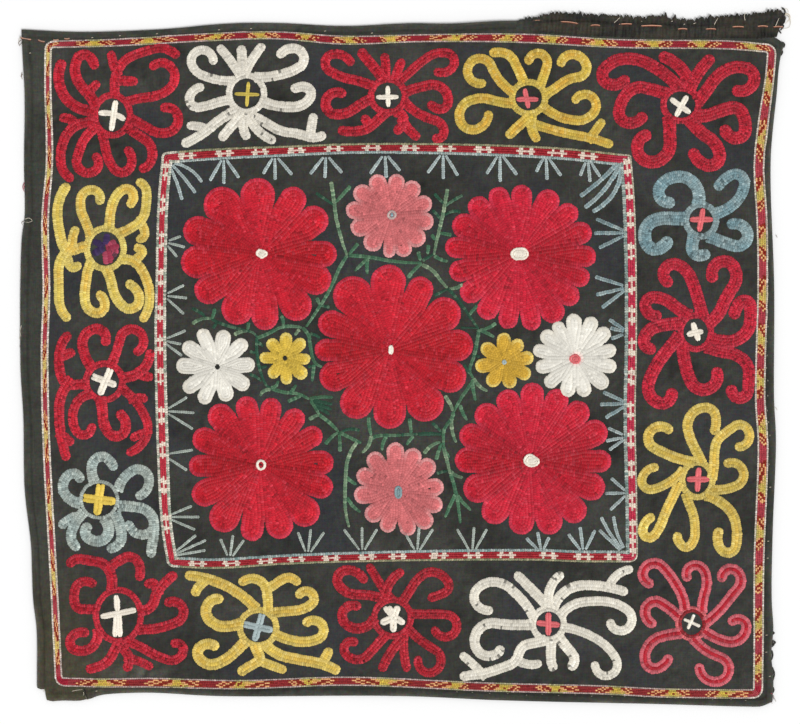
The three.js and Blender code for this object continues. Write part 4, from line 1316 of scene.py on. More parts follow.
def make_outer():
    line = loop(OUTER, 4.5)
    marks, total = block_marks(OUTER_BLOCKS, line, {"top": 238, "bottom": -246, "left": -267, "right": 268}, True)
    pos = np.array([m[0] for m in marks])
    kind = np.array([m[1] == "crimson" for m in marks])
    w = line[:, 2]
    arc = arclen(np.vstack([line, line[:1]]))
    st = Stitches("outer_trim_rows", 41)
    rng = np.random.default_rng(43)
    left = np.clip((-255 - line[:, 0]) / 8, 0, 1)
    lean = rng.integers(0, 2, len(marks))
    right = np.clip((line[:, 0] - 255) / 8, 0, 1)
    edge_w = 1.2 + 0.40 * left + 0.25 * right
    inner_w = (w - 2 * edge_w) / 4
    offs = [w / 2 - edge_w / 2] + [(w / 2 - edge_w) - (k + 0.5) * inner_w for k in range(4)] + [-(w / 2 - edge_w / 2)]

    def place(x):
        d = (x - pos + total / 2) % total - total / 2
        before, after = np.argmax(np.where(d >= 0, -d, -1e9)), np.argmax(np.where(d < 0, d, -1e9))
        return before, after, d[before], -d[after]

    def chart_for(k):
        def chart(s, p):
            out = np.zeros((len(s), 3))
            for n, q in enumerate(p):
                before, after, a, b = place(arc[nearest(line, *q)])
                gap = a + b
                if kind[before] == kind[after]:
                    out[n] = INK["crimson" if kind[before] else "lime"]
                    continue
                # the right side's reds have stayed brighter, its yellows have gone green
                c_half, y_half = min(5.2, gap * 0.27), min(3.4, gap * 0.19)
                free = gap - c_half - y_half
                # reading from crimson to yellow, or from yellow to crimson
                first = c_half if kind[before] else y_half
                f = (a - first) / free
                if f < 0:
                    letter = "C" if kind[before] else "Y"
                elif f >= 1:
                    letter = "Y" if kind[before] else "C"
                else:
                    rows = TO_YELLOW if kind[before] else TO_CRIMSON
                    letter = rows[k if lean[before] else 3 - k][int(f * 6)]
                out[n] = INK[THREADS[letter]] * 1.08
                far = np.clip((q[0] + q[1] * -0.3 - 60) / 160, 0, 1)
                if letter in "YG":
                    out[n] = mix(out[n], lin("c2b652"), 0.55 * far)
                if letter == "C":
                    out[n] = mix(lin("a52634"), lin("9a2a2c"), np.clip((-238 - q[1]) / 6, 0, 1))
                    out[n] = mix(out[n], lin("c4525c"), 0.55 * np.clip((np.abs(q[0]) - 240) / 20, 0, 1))
                if letter == "Y":
                    out[n] = mix(out[n], INK["yellow"], 0.6) if k in (1, 2) else mix(out[n], INK["olive"], 0.4)
                    if 0 <= f < 1 or rng.uniform() < 0.12:
                        out[n] = mix(out[n], INK["peach"], 0.4)
                    elif rng.uniform() < 0.07:
                        out[n] = INK["brick"]
                    out[n] = mix(out[n], lin("f2dc9c"), 0.40 * np.clip((-255 - q[0]) / 8, 0, 1))
                    out[n] = mix(out[n], lin("cdbf86"), 0.25 * np.clip((q[0] - 255) / 8, 0, 1))
            return out
        return chart

    def edge_chart(s, p):
        out = np.zeros((len(s), 3))
        for n, q in enumerate(p):
            before, after, a, b = place(arc[nearest(line, *q)])
            near_yellow = (not kind[before] and a < 5.5) or (not kind[after] and b < 5.5)
            c = mix(INK["edge"], lin("d2c4b8"), np.clip((np.abs(q[0]) - 255) / 8, 0, 1)) * 1.12
            c = mix(c, lin("a3ab63"), 0.55 - 0.33 * (np.abs(q[0]) > 255)) if near_yellow else c
            out[n] = c * (1 + rng.normal(0, 0.16))
        return out

    for k in range(6):
        t = tangents(line, True)
        cur = line[:, :2] + np.stack([-t[:, 1], t[:, 0]], 1) * np.asarray(offs[k])[:, None]
        if k in (0, 5):
            st.row(cur, edge_w, None, h=0.6, pitch=1.7, closed=True, silk=0.03, z=0.1, chart=edge_chart, full=1.1, rib=1.25, pits=0.3)
        else:
            st.row(cur, inner_w, None, h=0.75, pitch=1.5, closed=True, chart=chart_for(k - 1), silk=0.05, z=0.25, back=k == 2, full=1.2, pits=0.22)
    return st.build()


outer = finish_piece(make_outer(), "outer_trim")
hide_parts("outer_trim_band")


# ---------------------------------------------------------------- inner trim
def make_inner():
    wob = np.random.default_rng(47).normal(0, 0.22, 400)
    line = loop(INNER, 1.3)
    marks, total = block_marks(INNER_BLOCKS, line, {"top": 155, "bottom": -151, "left": -182, "right": 170})
    pos = np.array([m[0] for m in marks])
    w = line[:, 2]
    t = tangents(line, True)
    nrm = np.stack([-t[:, 1], t[:, 0]], 1)       # the loop runs anticlockwise, so this points inwards
    st = Stitches("inner_trim_rows", 47)
    rng = np.random.default_rng(48)
    arc = arclen(np.vstack([line, line[:1]]))
    left = np.clip((-168 - line[:, 0]) / 6, 0, 1)       # the left side's edge rows are wider, its field narrower
    right = np.clip((line[:, 0] - 160) / 5, 0, 1)
    e_out, e_in = 1.65 + 0.35 * left - 0.35 * right, 2.1 + 0.3 * left + 0.55 * right
    field_w = w - e_out - e_in
    mids = [-(w / 2 - e_out / 2), -(w / 2 - e_out) + field_w / 6, -(w / 2 - e_out) + field_w / 2, -(w / 2 - e_out) + field_w * 5 / 6, w / 2 - e_in / 2]

    def chart_for(k):
        def chart(s, p):
            sl = arc[np.array([nearest(line, *q) for q in p])]
            out = np.zeros((len(s), 3))
            crimsons = mix(lin("a8242e")[None], np.where(p[:, :1] > 0, lin("c4344e")[None], lin("bc3040")[None]), np.clip((np.abs(p[:, 0]) - 150) / 12, 0, 1)[:, None])
            white = lin("f0dccb")
            for n, x in enumerate(sl):
                crimson = crimsons[n]
                d = np.abs((x - pos + total / 2) % total - total / 2).min() + rng.normal(0, 0.12)
                swell = (0.25 if k == 1 else 0.0) + wob[int(x / 6) % len(wob)]
                bar = 2.1 - swell < d < 5.3 + swell
                if k == 1:
                    c = white if bar else mix(white, INK["pink"], 0.3) if d < 7.2 else crimson
                else:
                    c = white if bar else mix(INK["darkred"], crimson, 0.6) if d <= 2.0 else crimson
                out[n] = c
            return out
        return chart

    def edge_chart(kind):
        def chart(s, p):
            out = np.zeros((len(s), 3))
            left = p[:, 0] < -168
            for n in range(len(s)):
                if left[n]:
                    c = mix(lin("d0c9b9"), lin("8a9484"), rng.choice([0.0, 0.15, 0.9], p=[0.4, 0.3, 0.3]))
                elif kind == "in" and p[n, 0] > 160:
                    c = mix(lin("b9beb4"), lin("6f8480"), rng.uniform(0, 1))
                elif kind == "in":
                    c = mix(lin("aeb4af"), lin("879c9a") if p[n, 1] > 0 else lin("769290"), rng.uniform(0, 1))
                elif p[n, 0] > 160:
                    c = mix(lin("d6cbb8"), lin("a09a84"), rng.uniform(0, 1))
                else:
                    c = mix(lin("aea382"), lin("778060"), rng.uniform(0, 1))
                out[n] = c * 1.22
            return out
        return chart

    for k in range(5):
        mitre = np.where(line[:, 1] > 0, np.maximum(np.abs(nrm[:, 0]), np.abs(nrm[:, 1])), 1.0)[:, None] if k < 2 else 1.0
        cur = line[:, :2] + nrm / mitre * np.asarray(mids[k])[:, None]
        if k in (0, 4):
            st.row(cur, e_out if k == 0 else e_in, None, h=0.75, pitch=1.8, closed=True, chart=edge_chart("out" if k == 0 else "in"), silk=0.03, z=0.1, full=1.15, split=0.3, rib=1.3, pits=0.36)
        else:
            wide = np.asarray(field_w / 3)
            st.row(cur, wide, None, h=0.8, pitch=1.5, closed=True, chart=chart_for(k - 1), silk=0.05, z=0.2, back=k == 2, full=1.2, rib=0.75, pits=0.2)
    return st.build()


inner = finish_piece(make_inner(), "inner_trim")
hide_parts("inner_trim_band")

# ---------------------------------------------------------------- horn rosettes
# Looks: band ink, rows, band width, ring rows, ring row width, cross ink, slot of the bands, slot of the cross.
LOOKS = {
    "red_top_left": ("red", 3, 7.3, 2, 2.4, "white", "silk_red", "silk_cream"),
    "white_top": ("cream", 3, 7.1, 2, 2.3, "yellow", "silk_cream", "silk_yellow"),
    "red_top": ("red", 3, 7.2, 2, 2.4, "white", "silk_red", "silk_cream"),
    "yellow_top": ("yellow", 3, 7.0, 2, 2.3, "pink", "silk_yellow", "silk_pink"),
    "red_top_right": ("red", 4, 9.15, 2, 2.3, "white", "silk_red", "silk_cream"),
    "blue_right": ("blue", 4, 9.3, 2, 2.3, "pink", "silk_blue_grey", "silk_pink"),
    "red_right": ("red", 4, 9.25, 2, 2.2, "white", "silk_red", "silk_cream"),
    "yellow_right": ("yellow", 3, 7.05, 2, 2.3, "pink", "silk_yellow", "silk_pink"),
    "pink_bottom_right": ("pink", 3, 7.65, 2, 2.3, "white", "silk_pink", "silk_cream"),
    "red_bottom_left": ("red", 3, 7.2, 2, 2.25, "white", "silk_red", "silk_cream"),
    "yellow_bottom": ("yellow", 3, 7.62, 2, 2.3, "bluegrey", "silk_yellow", "silk_blue_grey"),
    "red_bottom": ("red", 3, 7.0, 2, 2.3, "white", "silk_red", "silk_cream"),
    "white_bottom": ("cream", 3, 7.15, 2, 2.3, "pink", "silk_cream", "silk_pink"),
    "yellow_left": ("yellow", 3, 7.2, 2, 2.3, "violet", "silk_yellow", "silk_red"),
    "red_left": ("red", 3, 7.37, 2, 2.4, "white", "silk_red", "silk_cream"),
    "blue_left": ("pale", 3, 7.45, 1, 2.4, "yellow", "silk_blue_grey", "silk_yellow"),
}
dye_patches = field(61, 12, 12, 40)
# Bright flecks of each silk, how strong they are, and how dim its dark flecks are.
FLECKS = {"red": (lin("de4658"), 0.30, 0.62), "pink": (lin("dd8088"), 0.12, 0.72), "cream": (lin("f4f0e6"), 0.3, 0.78),
          "yellow": (lin("ecd98c"), 0.35, 0.78), "blue": (lin("a9b9b9"), 0.5, 0.55), "pale": (lin("c6cdc4"), 0.5, 0.55)}
RIM = {"red": lin("cc3a4c"), "cream": lin("e0d8c6"), "yellow": lin("dcca80"), "blue": lin("9aa9a7"), "pale": lin("b3b9ab"), "pink": lin("cf6474")}
# How each motif's silk differs from its colour in the table of inks.
AGED = {"red_top_left": (1.0, 0.96, 0.96), "red_top": (1.0, 0.96, 0.96), "red_top_right": (0.96, 0.95, 1.0), "red_right": (1.0, 0.97, 1.12),
        "red_left": (1.0, 1.0, 0.98), "red_bottom_left": (0.97, 0.97, 0.95), "red_bottom": (0.85, 0.86, 0.80),
        "yellow_left": (1.0, 1.10, 1.36), "yellow_bottom": (1.01, 1.05, 1.22), "yellow_top": (0.92, 0.94, 0.87), "yellow_right": (0.93, 0.98, 1.14),
        "white_top": (0.96, 0.96, 0.97), "white_bottom": (0.98, 0.98, 0.98), "blue_left": (0.91, 0.92, 0.96)}
# Width of a centre cross's arms where it is not 4.9.
CROSS_W = {"white_top": 3.1, "red_top": 4.0, "yellow_top": 4.2, "red_top_right": 4.6, "blue_right": 4.6}
CORE = {"red": INK["red"], "cream": INK["cream"], "yellow": INK["yellow"], "blue": INK["blue"], "pale": INK["pale"], "pink": INK["red"]}


def make_rosette(index, name, head, rows):
    cx, cy, ow, oh = head
    ink, n, w, ring_rows, ring_w, cross_ink, slot, cross_slot = LOOKS[name]
    st = Stitches("rosette_" + name, 100 + index)
    cr = Stitches("cross_" + name, 200 + index)
    rng = np.random.default_rng(300 + index)
    aged = np.array(AGED.get(name, (1.0, 1.0, 1.0)))
    pits = {"red": 0.42, "pink": 0.30, "blue": 0.18, "pale": 0.18, "yellow": 0.10}.get(ink, 0.05)
    for j, r in enumerate(rows):
        vals = [float(v) for v in r[1:]]
        pairs = list(zip(vals[3::2], vals[4::2]))
        c = arcs(vals[0] + cx, vals[1] + cy, vals[2], pairs) if r[0] not in ("violet", "crimson", "dusk") else None
        if r[0] in ("arm", "tine"):
            m, bw, up = (n, w, 0.0) if r[0] == "arm" else (n if n == 3 else 3, w * 0.95 if n == 3 else w * 0.8, -0.12)
            shade = 1 + rng.normal(0, 0.03)
            up += 0.04 * (j % 3)
            bw *= 1 + rng.normal(0, 0.04)
            # a band starts at the ring's inner row and covers its outer one
            out = ((c[:, 0] - cx) / (ow + ring_w * 0.75)) ** 2 + ((c[:, 1] - cy) / (oh + ring_w * 0.75)) ** 2 > 1
            if r[0] == "arm" and out.any():
                c = c[int(np.argmax(out)):] if out[0] == 0 else c
            gap = math.hypot((c[0, 0] - cx) / (ow + ring_w), (c[0, 1] - cy) / (oh + ring_w)) - 1
            reach_back = max(0.2, min(gap * ow, 5.0)) if r[0] == "arm" else 3.0
            for line, place in band(c, bw, m, back=reach_back + 0.8, reach=1.2, flare=0.28 if r[0] == "arm" else 0.0):
                tone = mix(RIM[ink], CORE[ink], (0.62 + 0.38 * place) if ink != "yellow" else (0.66 + 0.22 * place)) if ink != "pink" else (mix(RIM[ink], INK["pink"], 0.5) if place < 0.5 else INK["red"])
                tone = tone * {"red": 0.99, "yellow": 0.93, "cream": 0.945, "pink": 0.97}.get(ink, 1.02) * aged

                def silks(s, p, tone=tone, place=place):
                    """Uneven dye: golden stretches in the yellow, teal and pale ones in the blue."""
                    c2 = np.repeat(np.asarray(tone)[None], len(s), 0)
                    f = np.clip(0.5 + 0.5 * dye_patches(p[:, 0], p[:, 1]), 0, 1)[:, None]
                    if ink == "yellow":
                        c2 = mix(c2, INK["orange"], f * {"yellow_top": 0.42, "yellow_left": 0.34}.get(name, 0.2) * (0.5 + 0.5 * place))
                    if ink in ("blue", "pale"):
                        c2 = mix(c2, lin("5f8792") if ink == "blue" else lin("93a6a4"), f * 0.5)
                    fleck = rng.uniform(0, 1, len(s))
                    bright, amount, dim = FLECKS[ink]
                    c2[fleck > 0.88] = mix(c2[fleck > 0.88], bright, amount)
                    c2[fleck < 0.10] = c2[fleck < 0.10] * dim
                    if ink == "cream":
                        c2[fleck < 0.012] = c2[fleck < 0.012] * 0.35
                    return c2
                st.row(line, bw / m * 0.99, tone, h=0.6, z=up, chart=silks,
                       rib={"cream": 0.5, "yellow": 0.75, "pink": 0.65, "red": 0.95}.get(ink, 1.0), full=1.36, pitch=1.58,
                       noise={"cream": 0.05, "red": 0.11, "yellow": 0.08, "pink": 0.05}.get(ink, 0.13),
                       gain=shade * (1 + 0.05 * np.sin(np.linspace(0, 7, len(line)) + j)), pits=pits)
        elif r[0] in ("violet", "crimson", "dusk"):
            c = arcs(vals[1] + cx, vals[2] + cy, vals[3], list(zip(vals[4::2], vals[5::2])))
            tone = INK[r[0]] if r[0] != "crimson" else mix(lin("8f2740"), lin("a34258"), 0.5 + 0.4 * math.sin(j * 2.1))
            s = np.linspace(0, 1, len(c))
            cr.row(c, vals[0] * 1.3 * (0.78 + 0.25 * np.sin(math.pi * s) ** 0.5), tone, h=0.6, pitch=1.9, z=0.02 + 0.08 * (j % 3), rib=0.5, noise=0.16)
        else:
            wide = r[0] == "cross2"
            tone = INK["straw" if cross_ink == "yellow" else cross_ink] * ((0.80, 0.86, 1.0) if name == "white_top" else (1, 1, 1))
            if name == "pink_bottom_right":
                cr.row(c, 2.1, tone, h=0.8, pitch=2.0, z=0.05, rib=0.25, noise=0.05)
            elif wide:
                cw = 6.4 if name == "blue_left" else 5.2
                for line, place in band(c, cw, 2, back=0.5, taper=0.0):
                    cr.row(line, cw / 2 * 0.9, tone, h=0.8, pitch=2.0, z=0.05, rib=0.22, noise=0.04)
            else:
                cw = CROSS_W.get(name, 4.9)
                s = np.linspace(0, 1, len(c))
                ends = np.clip(np.minimum(s, 1 - s) * len(c) * 0.7 / 3.0, 0, 1)
                half_w = cw * 0.80 * (0.45 + 0.55 * np.sin(ends * math.pi / 2))
                for o in (-0.26, 0.26):
                    cr.row(c[:, :2] + np.stack([-tangents(c[:, :2])[:, 1], tangents(c[:, :2])[:, 0]], 1) * (half_w * o)[:, None], half_w * 0.5, tone,
                           h=0.7, pitch=2.0, z=0.05 + 0.15 * (j % 2), rib=0.22, noise=0.04, full=1.4)
    for k in range(ring_rows):
        a = np.linspace(0, 2 * math.pi, 72, endpoint=False)
        g = ring_w * (k + 0.5)
        p = np.stack([cx + (ow + g) * np.cos(a), cy + (oh + g) * np.sin(a)], 1)
        tone = CORE[ink] if ink != "pink" else (INK["darkred"] if k == 0 else INK["pink"])
        tone = mix(tone, RIM[ink], 0.35) * {"red": 0.98, "yellow": 0.90, "cream": 0.93}.get(ink, 0.95) * aged if ink != "pink" else tone

        def speckle_ring(s, p, tone=tone):
            c2 = np.repeat(np.asarray(tone)[None], len(s), 0)
            fleck = rng.uniform(0, 1, len(s))
            bright, amount, dim = FLECKS[ink]
            c2[fleck > 0.88] = mix(c2[fleck > 0.88], bright, amount)
            c2[fleck < 0.10] = c2[fleck < 0.10] * dim
            return c2
        st.row(p, ring_w * 1.03, tone, h=0.7 if k == 0 else 0.6, z=0.0 if k == 0 else -0.14, closed=True, chart=speckle_ring,
               rib=0.55 if ink == "cream" else 0.95, noise=0.05 if ink == "cream" else 0.1, pits=pits)
    finish_piece(st.build(), slot)
    if cr.v:
        finish_piece(cr.build(), cross_slot)
    return st.count + cr.count


total_stitches = 0
for index, (name, head, rows) in enumerate(groups(ROSETTES)):
    total_stitches += make_rosette(index, name, head, rows)

# ---------------------------------------------------------------- flowers
# Looks: petal ink, edge ink for the painted sheen on the outer row's cap, core ink near the middle, row width, slot.
BLOOM = {
    "red": ("red", lin("c8405a"), lin("c41f2e"), 2.45, "silk_red"),
    "pink": ("pink", lin("d3a09e"), lin("d66066"), 2.2, "silk_pink"),
    "white": ("cream", lin("d9cfba"), lin("efe9de"), 2.2, "silk_cream"),
    "yellow": ("yellow", lin("dccb7a"), lin("d8922a"), 2.0, "silk_yellow"),
}


def petal(reach, width, rw, gaps):
    """Nested tongue-shaped rows of one petal that points along +x: (points, widths, row number).
    gaps: the angles, in radians, to the lines it shares with its neighbours on the left and right."""
    r0 = width / 2
    rw = r0 / max(1, round(r0 / rw))
    c = reach - r0
    out, d, k = [], rw / 2, 0

    def half(d, gap):
        r1 = min(r0 / math.tan(gap), c)
        turn = np.linspace(math.pi / 2, 0, 12)
        line = np.vstack([np.linspace([0, 0], [r1, r0], 22), np.linspace([r1, r0], [c, r0], 6)[1:], np.stack([c + r0 * np.cos(turn), r0 * np.sin(turn)], 1)[1:]])
        line = line[np.concatenate([[True], np.hypot(*np.diff(line, axis=0).T) > 1e-3])]
        p = offset(line, -d)
        p = p[p[:, 1] > 0.05]
        return p

    while d < r0 - rw * 0.45:
        up, down = half(d, gaps[0]), half(d, gaps[1])
        lead_x = np.linspace((d - rw * 0.5) / math.sin(max(gaps)), up[0, 0], 5)[:-1]
        lead_w = np.linspace(0.7, rw, 5)[:-1]
        p = np.vstack([np.stack([lead_x, 0 * lead_x], 1), up, [[reach - d, 0.0]], down[::-1] * [1, -1]])
        w = np.concatenate([lead_w, np.full(len(p) - 4, rw * 1.02)])
        out.append((p, w, k))
        d += rw
        k += 1
    return out


def make_flower(index, name, head, rows):
    cx, cy = head
    kind = name.split("_")[0]
    ink, edge, core, rw, slot = BLOOM[kind]
    st = Stitches("flower_" + name, 400 + index)
    rng = np.random.default_rng(500 + index)
    vals = [float(v) for r in rows for v in r]
    petals = list(zip(vals[0::3], vals[1::3], vals[2::3]))
    for j, (angle, reach, width) in enumerate(petals):
        a = math.radians(angle)
        rot = np.array([[math.cos(a), math.sin(a)], [-math.sin(a), math.cos(a)]])
        shade = 1 + rng.normal(0, 0.025)
        upright_sheen = abs(math.sin(a))
        others = [q[0] for i, q in enumerate(petals) if i != j]
        gaps = [math.radians(min((sign * (o - angle)) % 360 for o in others) / 2) for sign in (1, -1)]
        for p, w, k in petal(reach, width, rw, gaps):
            q = p @ rot + [cx, cy]
            frac = p[:, 0] / reach
            # gain: the outer part of each petal is drawn brighter, a painted highlight; white petals are drawn a little
            # darker towards the tip
            gain = shade * ((0.94 + 0.12 * np.clip((frac - 0.65) / 0.3, 0, 1)) if kind != "white" else 1.0 - 0.05 * np.clip((frac - 0.6) / 0.3, 0, 1))
            if kind == "red":
                # red petals that point up or down are drawn lighter and pinker: a painted sheen
                tone = mix(lin("be1022"), lin("cc2438"), 0.6 * upright_sheen) * ((1.0, 0.96, 1.17) if cx > 60 else (0.985, 0.865, 0.905))
            elif kind == "pink":
                tone = mix(lin("d97a7c"), core, 0.25) * (0.93, 0.90, 0.88)
            elif kind == "white":
                tone = lin("e6e2d7")
            else:
                tone = mix(lin("e0bd4c"), core, 0.52 if name == "yellow_right" else 0.22) * ((0.91, 0.99, 0.86) if name == "yellow_right" else (0.97, 1.06, 1.0))

            def silks(s, at_xy, tone=tone, k=k, reach=reach):
                """The outermost row is drawn paler round the petal's cap, a painted sheen, and darker in the crease
                between petals, a painted shade.
                """
                r = np.hypot(at_xy[:, 0] - cx, at_xy[:, 1] - cy) / reach
                cap = np.clip((r - 0.66) / 0.22, 0, 1)[:, None]
                c2 = np.repeat(np.asarray(tone)[None], len(s), 0)
                if k == 0:
                    c2 = mix(c2 * (0.90 if kind != "white" else 0.91), mix(c2, edge, {"red": 0.4, "pink": 0.6, "white": 0.35, "yellow": 0.6}[kind]), cap)
                if name == "white_right":
                    c2 = mix(c2, lin("efc3bd"), np.clip((0.19 - r) / 0.05, 0, 1)[:, None] * 0.5)
                if kind in ("white", "yellow", "pink"):
                    fleck = rng.uniform(0, 1, len(s))
                    c2[fleck < 0.04] = c2[fleck < 0.04] * (0.86 if kind == "white" else 0.74)
                if kind == "red":
                    fleck = rng.uniform(0, 1, len(s))
                    c2[fleck > 0.92] = mix(c2[fleck > 0.92], lin("d84a5c"), 0.3)
                    c2[fleck < 0.08] = c2[fleck < 0.08] * (0.74, 0.6, 0.66)
                return c2
            st.row(q, w, tone * (1.04 if kind == "red" else 1.0), h=0.46 if kind == "white" else 0.52, z=0.05 * (j % 3) + (0.27 if kind == "white" else 0.0), gain=gain, chart=silks,
                   silk=0.13 if kind == "red" else 0.08, pits={"red": 0.17, "white": 0.0}.get(kind, 0.07), rib={"red": 0.78, "pink": 0.6, "white": 0.2, "yellow": 0.58}[kind], full=1.42 if kind == "white" else 1.40,
                   noise={"pink": 0.09, "white": 0.02, "yellow": 0.06}.get(kind, 0.085))
            if k == 0:
                # the layer under the petal is drawn darker than its thread: painted shade in the gaps between rows
                st.under(q[3::2], np.array([cx, cy]), tone * 0.85, z=0.16)
    finish_piece(st.build(), slot)
    # the middle: closed rows packed inwards, round an outline given every 45 degrees from the right
    mid = Stitches("eye_" + name, 600 + index)
    tone_name, hole, radii, slot2 = EYES[name]
    tone = INK[tone_name] if tone_name != "dark" else lin("2a2a26")
    ang = np.linspace(0, 2 * math.pi, 48, endpoint=False)
    rad = catmull(np.array([[i * 45.0, r] for i, r in enumerate(radii[-2:] + radii + radii[:3], -2)]), 1.0)
    rad = np.interp(np.degrees(ang), rad[:, 0], rad[:, 1])
    least = rad.min()
    rw2 = min(1.9, least)
    inner = np.array([cx, cy])
    g = rw2 / 2
    z = 0.55
    while g < least - max(hole, 0.25):
        frac = (rad - g) / rad
        p = inner + np.stack([np.cos(ang), np.sin(ang)], 1) * (rad * frac)[:, None]
        if (rad * frac).mean() > 0.9:
            mid.row(p, rw2, tone, h=0.7, z=z, pitch=1.9, closed=True, back=False, rib=0.3, noise=0.05)
        g += rw2
        z += 0.08
    if hole == 0:
        ax = (rad[0] + rad[24]) / 2 - rw2, (rad[12] + rad[36]) / 2 - rw2
        long = max(max(ax) - 0.5 * min(ax), 0.4)
        o = np.array([long, 0]) if ax[0] > ax[1] else np.array([0, long])
        # the layer under the eye's middle row is drawn darker than its thread: painted shade in the gaps
        mid.under(inner + np.stack([np.cos(ang), np.sin(ang)], 1) * (rad * 0.8)[:, None], inner, tone * 0.85, z=0.75, closed=True)
        mid.row(np.array([inner - o, inner, inner + o]), max(min(ax) * 1.6, 1.5), tone, h=0.8, z=0.62, pitch=1.9, back=False, rib=0.3, noise=0.05)
    else:
        mid.row(np.array([inner - [0, hole * 0.8], inner + [0, hole * 0.8]]), hole * 1.3, lin("2a2523") if tone_name != "edge" else lin("86a4ac"),
                h=0.4, z=0.9, pitch=1.5, back=False)
    if name.startswith("red") and name != "red_ne":
        mid.row(np.array([inner + [rad[12] * 0.15, rad[12] * 1.15], inner + [rad[12] * 0.2, rad[12] * 0.6]]), 0.8, lin("57202a"), h=0.3, z=0.55, pitch=1.2, back=False)
    finish_piece(mid.build(), slot2)
    return st.count + mid.count


# Middles of the flowers: ink, radius of the hole, radii at 0, 45, 90 … degrees, slot.
EYES = {
    "red_nw": ("white", 0, [4.6, 3.9, 3.5, 4.6, 4.4, 2.9, 3.6, 3.2], "silk_cream"),
    "red_ne": ("white", 0, [7.0, 6.0, 4.7, 5.7, 6.9, 5.9, 4.6, 5.6], "silk_cream"),
    "red_sw": ("white", 0.9, [3.8, 4.0, 4.3, 3.9, 3.7, 4.0, 4.2, 4.1], "silk_cream"),
    "red_se": ("white", 0, [6.6, 4.9, 5.6, 5.9, 6.0, 4.9, 4.5, 5.2], "silk_cream"),
    "red_mid": ("white", 0, [2.0, 2.2, 3.8, 2.0, 1.8, 2.0, 3.7, 2.3], "silk_cream"),
    "pink_top": ("edge", 1.7, [3.6, 3.6, 3.7, 3.6, 3.6, 3.7, 3.6, 3.5], "silk_blue_grey"),
    "pink_bottom": ("blue", 0, [2.8, 3.8, 5.0, 3.6, 2.8, 3.7, 5.0, 3.8], "silk_blue_grey"),
    "white_left": ("dark", 0, [2.2, 1.8, 2.5, 1.9, 2.3, 1.8, 2.4, 1.9], "sewing_thread"),
    "white_right": ("pink", 0, [3.9, 3.7, 3.9, 4.3, 5.2, 4.2, 3.8, 3.9], "silk_pink"),
    "yellow_left": ("dark", 0, [1.9, 1.7, 2.1, 1.7, 1.9, 1.7, 2.0, 1.7], "sewing_thread"),
    "yellow_right": ("bluegrey", 0, [2.1, 1.8, 2.3, 1.9, 2.1, 1.8, 2.2, 1.9], "silk_blue_grey"),
}
for index, (name, head, rows) in enumerate(groups(FLOWERS)):
    total_stitches += make_flower(index, name, head, rows)

# ---------------------------------------------------------------- stems and leaves
stems = Stitches("stems", 701)
TONE = {"g": ("green", 2.85), "d": ("dark", 2.45), "l": ("light", 2.95), "t": ("dark", 1.5), "k": ("dark", 3.0)}
rng = np.random.default_rng(702)
for j, r in enumerate(words(STEMS)):
    vals = [float(v) for v in r[1:]]
    c = arcs(vals[0], vals[1], vals[2], list(zip(vals[3::2], vals[4::2])))
    ink, w = TONE[r[0]]
    base = (mix(INK[ink], INK["green"], 0.4) if r[0] == "l" else INK[ink]) * (1 + rng.normal(0, 0.06)) * (0.88, 0.74, 0.73)

    def flecks(s, p, base=base, r0=r[0]):
        pick = rng.uniform(0, 1, len(s))
        c2 = np.repeat(base[None], len(s), 0)
        lightened = mix(base, INK["light"], 0.28)
        c2[pick > 0.66] = lightened
        c2[pick < 0.25] = mix(base, INK["dark"], 0.4)
        if r0 == "l":
            c2[pick > 0.88] = mix(base, lin("b9cba6"), 0.45)
        return c2
    s = np.linspace(0, 1, len(c))
    stems.row(c, w * (1 - 0.35 * s ** 3), base, h=0.7, pitch=1.9, z=0.03 * (j % 4), chart=flecks if r[0] in "gdl" else None,
              full=1.15, split=0.55, rib=0.6, pits=0.2)
total_stitches += stems.count
finish_piece(stems.build(), "silk_green")

# ---------------------------------------------------------------- tufts on the inner trim
tufts = Stitches("tufts", 711)
for j, r in enumerate(words(TUFTS)):
    vals = [float(v) for v in r[1:]]
    x, y = vals[:2]
    base = {"b": INK["bluegrey"], "B": INK["blue"], "l": INK["pale"]}[r[0]]
    w = {"b": 2.4, "B": 2.8, "l": 1.95}[r[0]]
    angles, lengths = np.radians(vals[2::2]), vals[3::2]
    main = math.atan2(np.sin(angles).mean(), np.cos(angles).mean())
    # the fans in the upper corners are fuller at the root, with bowed strokes
    spread, full_root, bows = {161.7: (3.1, 1.15, (0.03, 0.07, 0.15)), -174.3: (2.6, 0.85, (0.12, 0.02, 0.03)),
                               163.2: (2.6, 0.85, (0.0, 0.04, 0.06))}.get(x, (1.9, 0.72, (0.0, 0.0, 0.0)))
    across = np.array([-math.sin(main), math.cos(main)])
    for angle, length, bow in zip(angles, lengths, bows):
        turn = (angle - main + math.pi) % (2 * math.pi) - math.pi
        tip = np.array([x, y]) + length * np.array([math.cos(angle), math.sin(angle)])
        root = np.array([x, y]) + across * spread * np.clip(turn / (0.5 if spread < 3 else 0.35), -1, 1)
        k = np.linspace(0, 1, 14)[:, None]
        outer = np.array([-(tip - root)[1], (tip - root)[0]])
        c = root + (tip - root) * k + outer * bow * 4 * k * (1 - k)

        def blend(s, p, base=base):
            k = rng.uniform(0, 1, len(s))[:, None]
            return mix(base, lin("c6cec8"), k * 0.45)
        s = np.linspace(0, 1, len(c))
        tufts.row(c, w * (1.12 if spread > 3 else 1.0) * (full_root + (1 - full_root) * np.clip(s / 0.5, 0, 1)), base, h=0.7, pitch=1.7, chart=blend, z=0.05, rib=0.9, split=0.75, full=1.2)
total_stitches += tufts.count
finish_piece(tufts.build(), "silk_blue_grey")

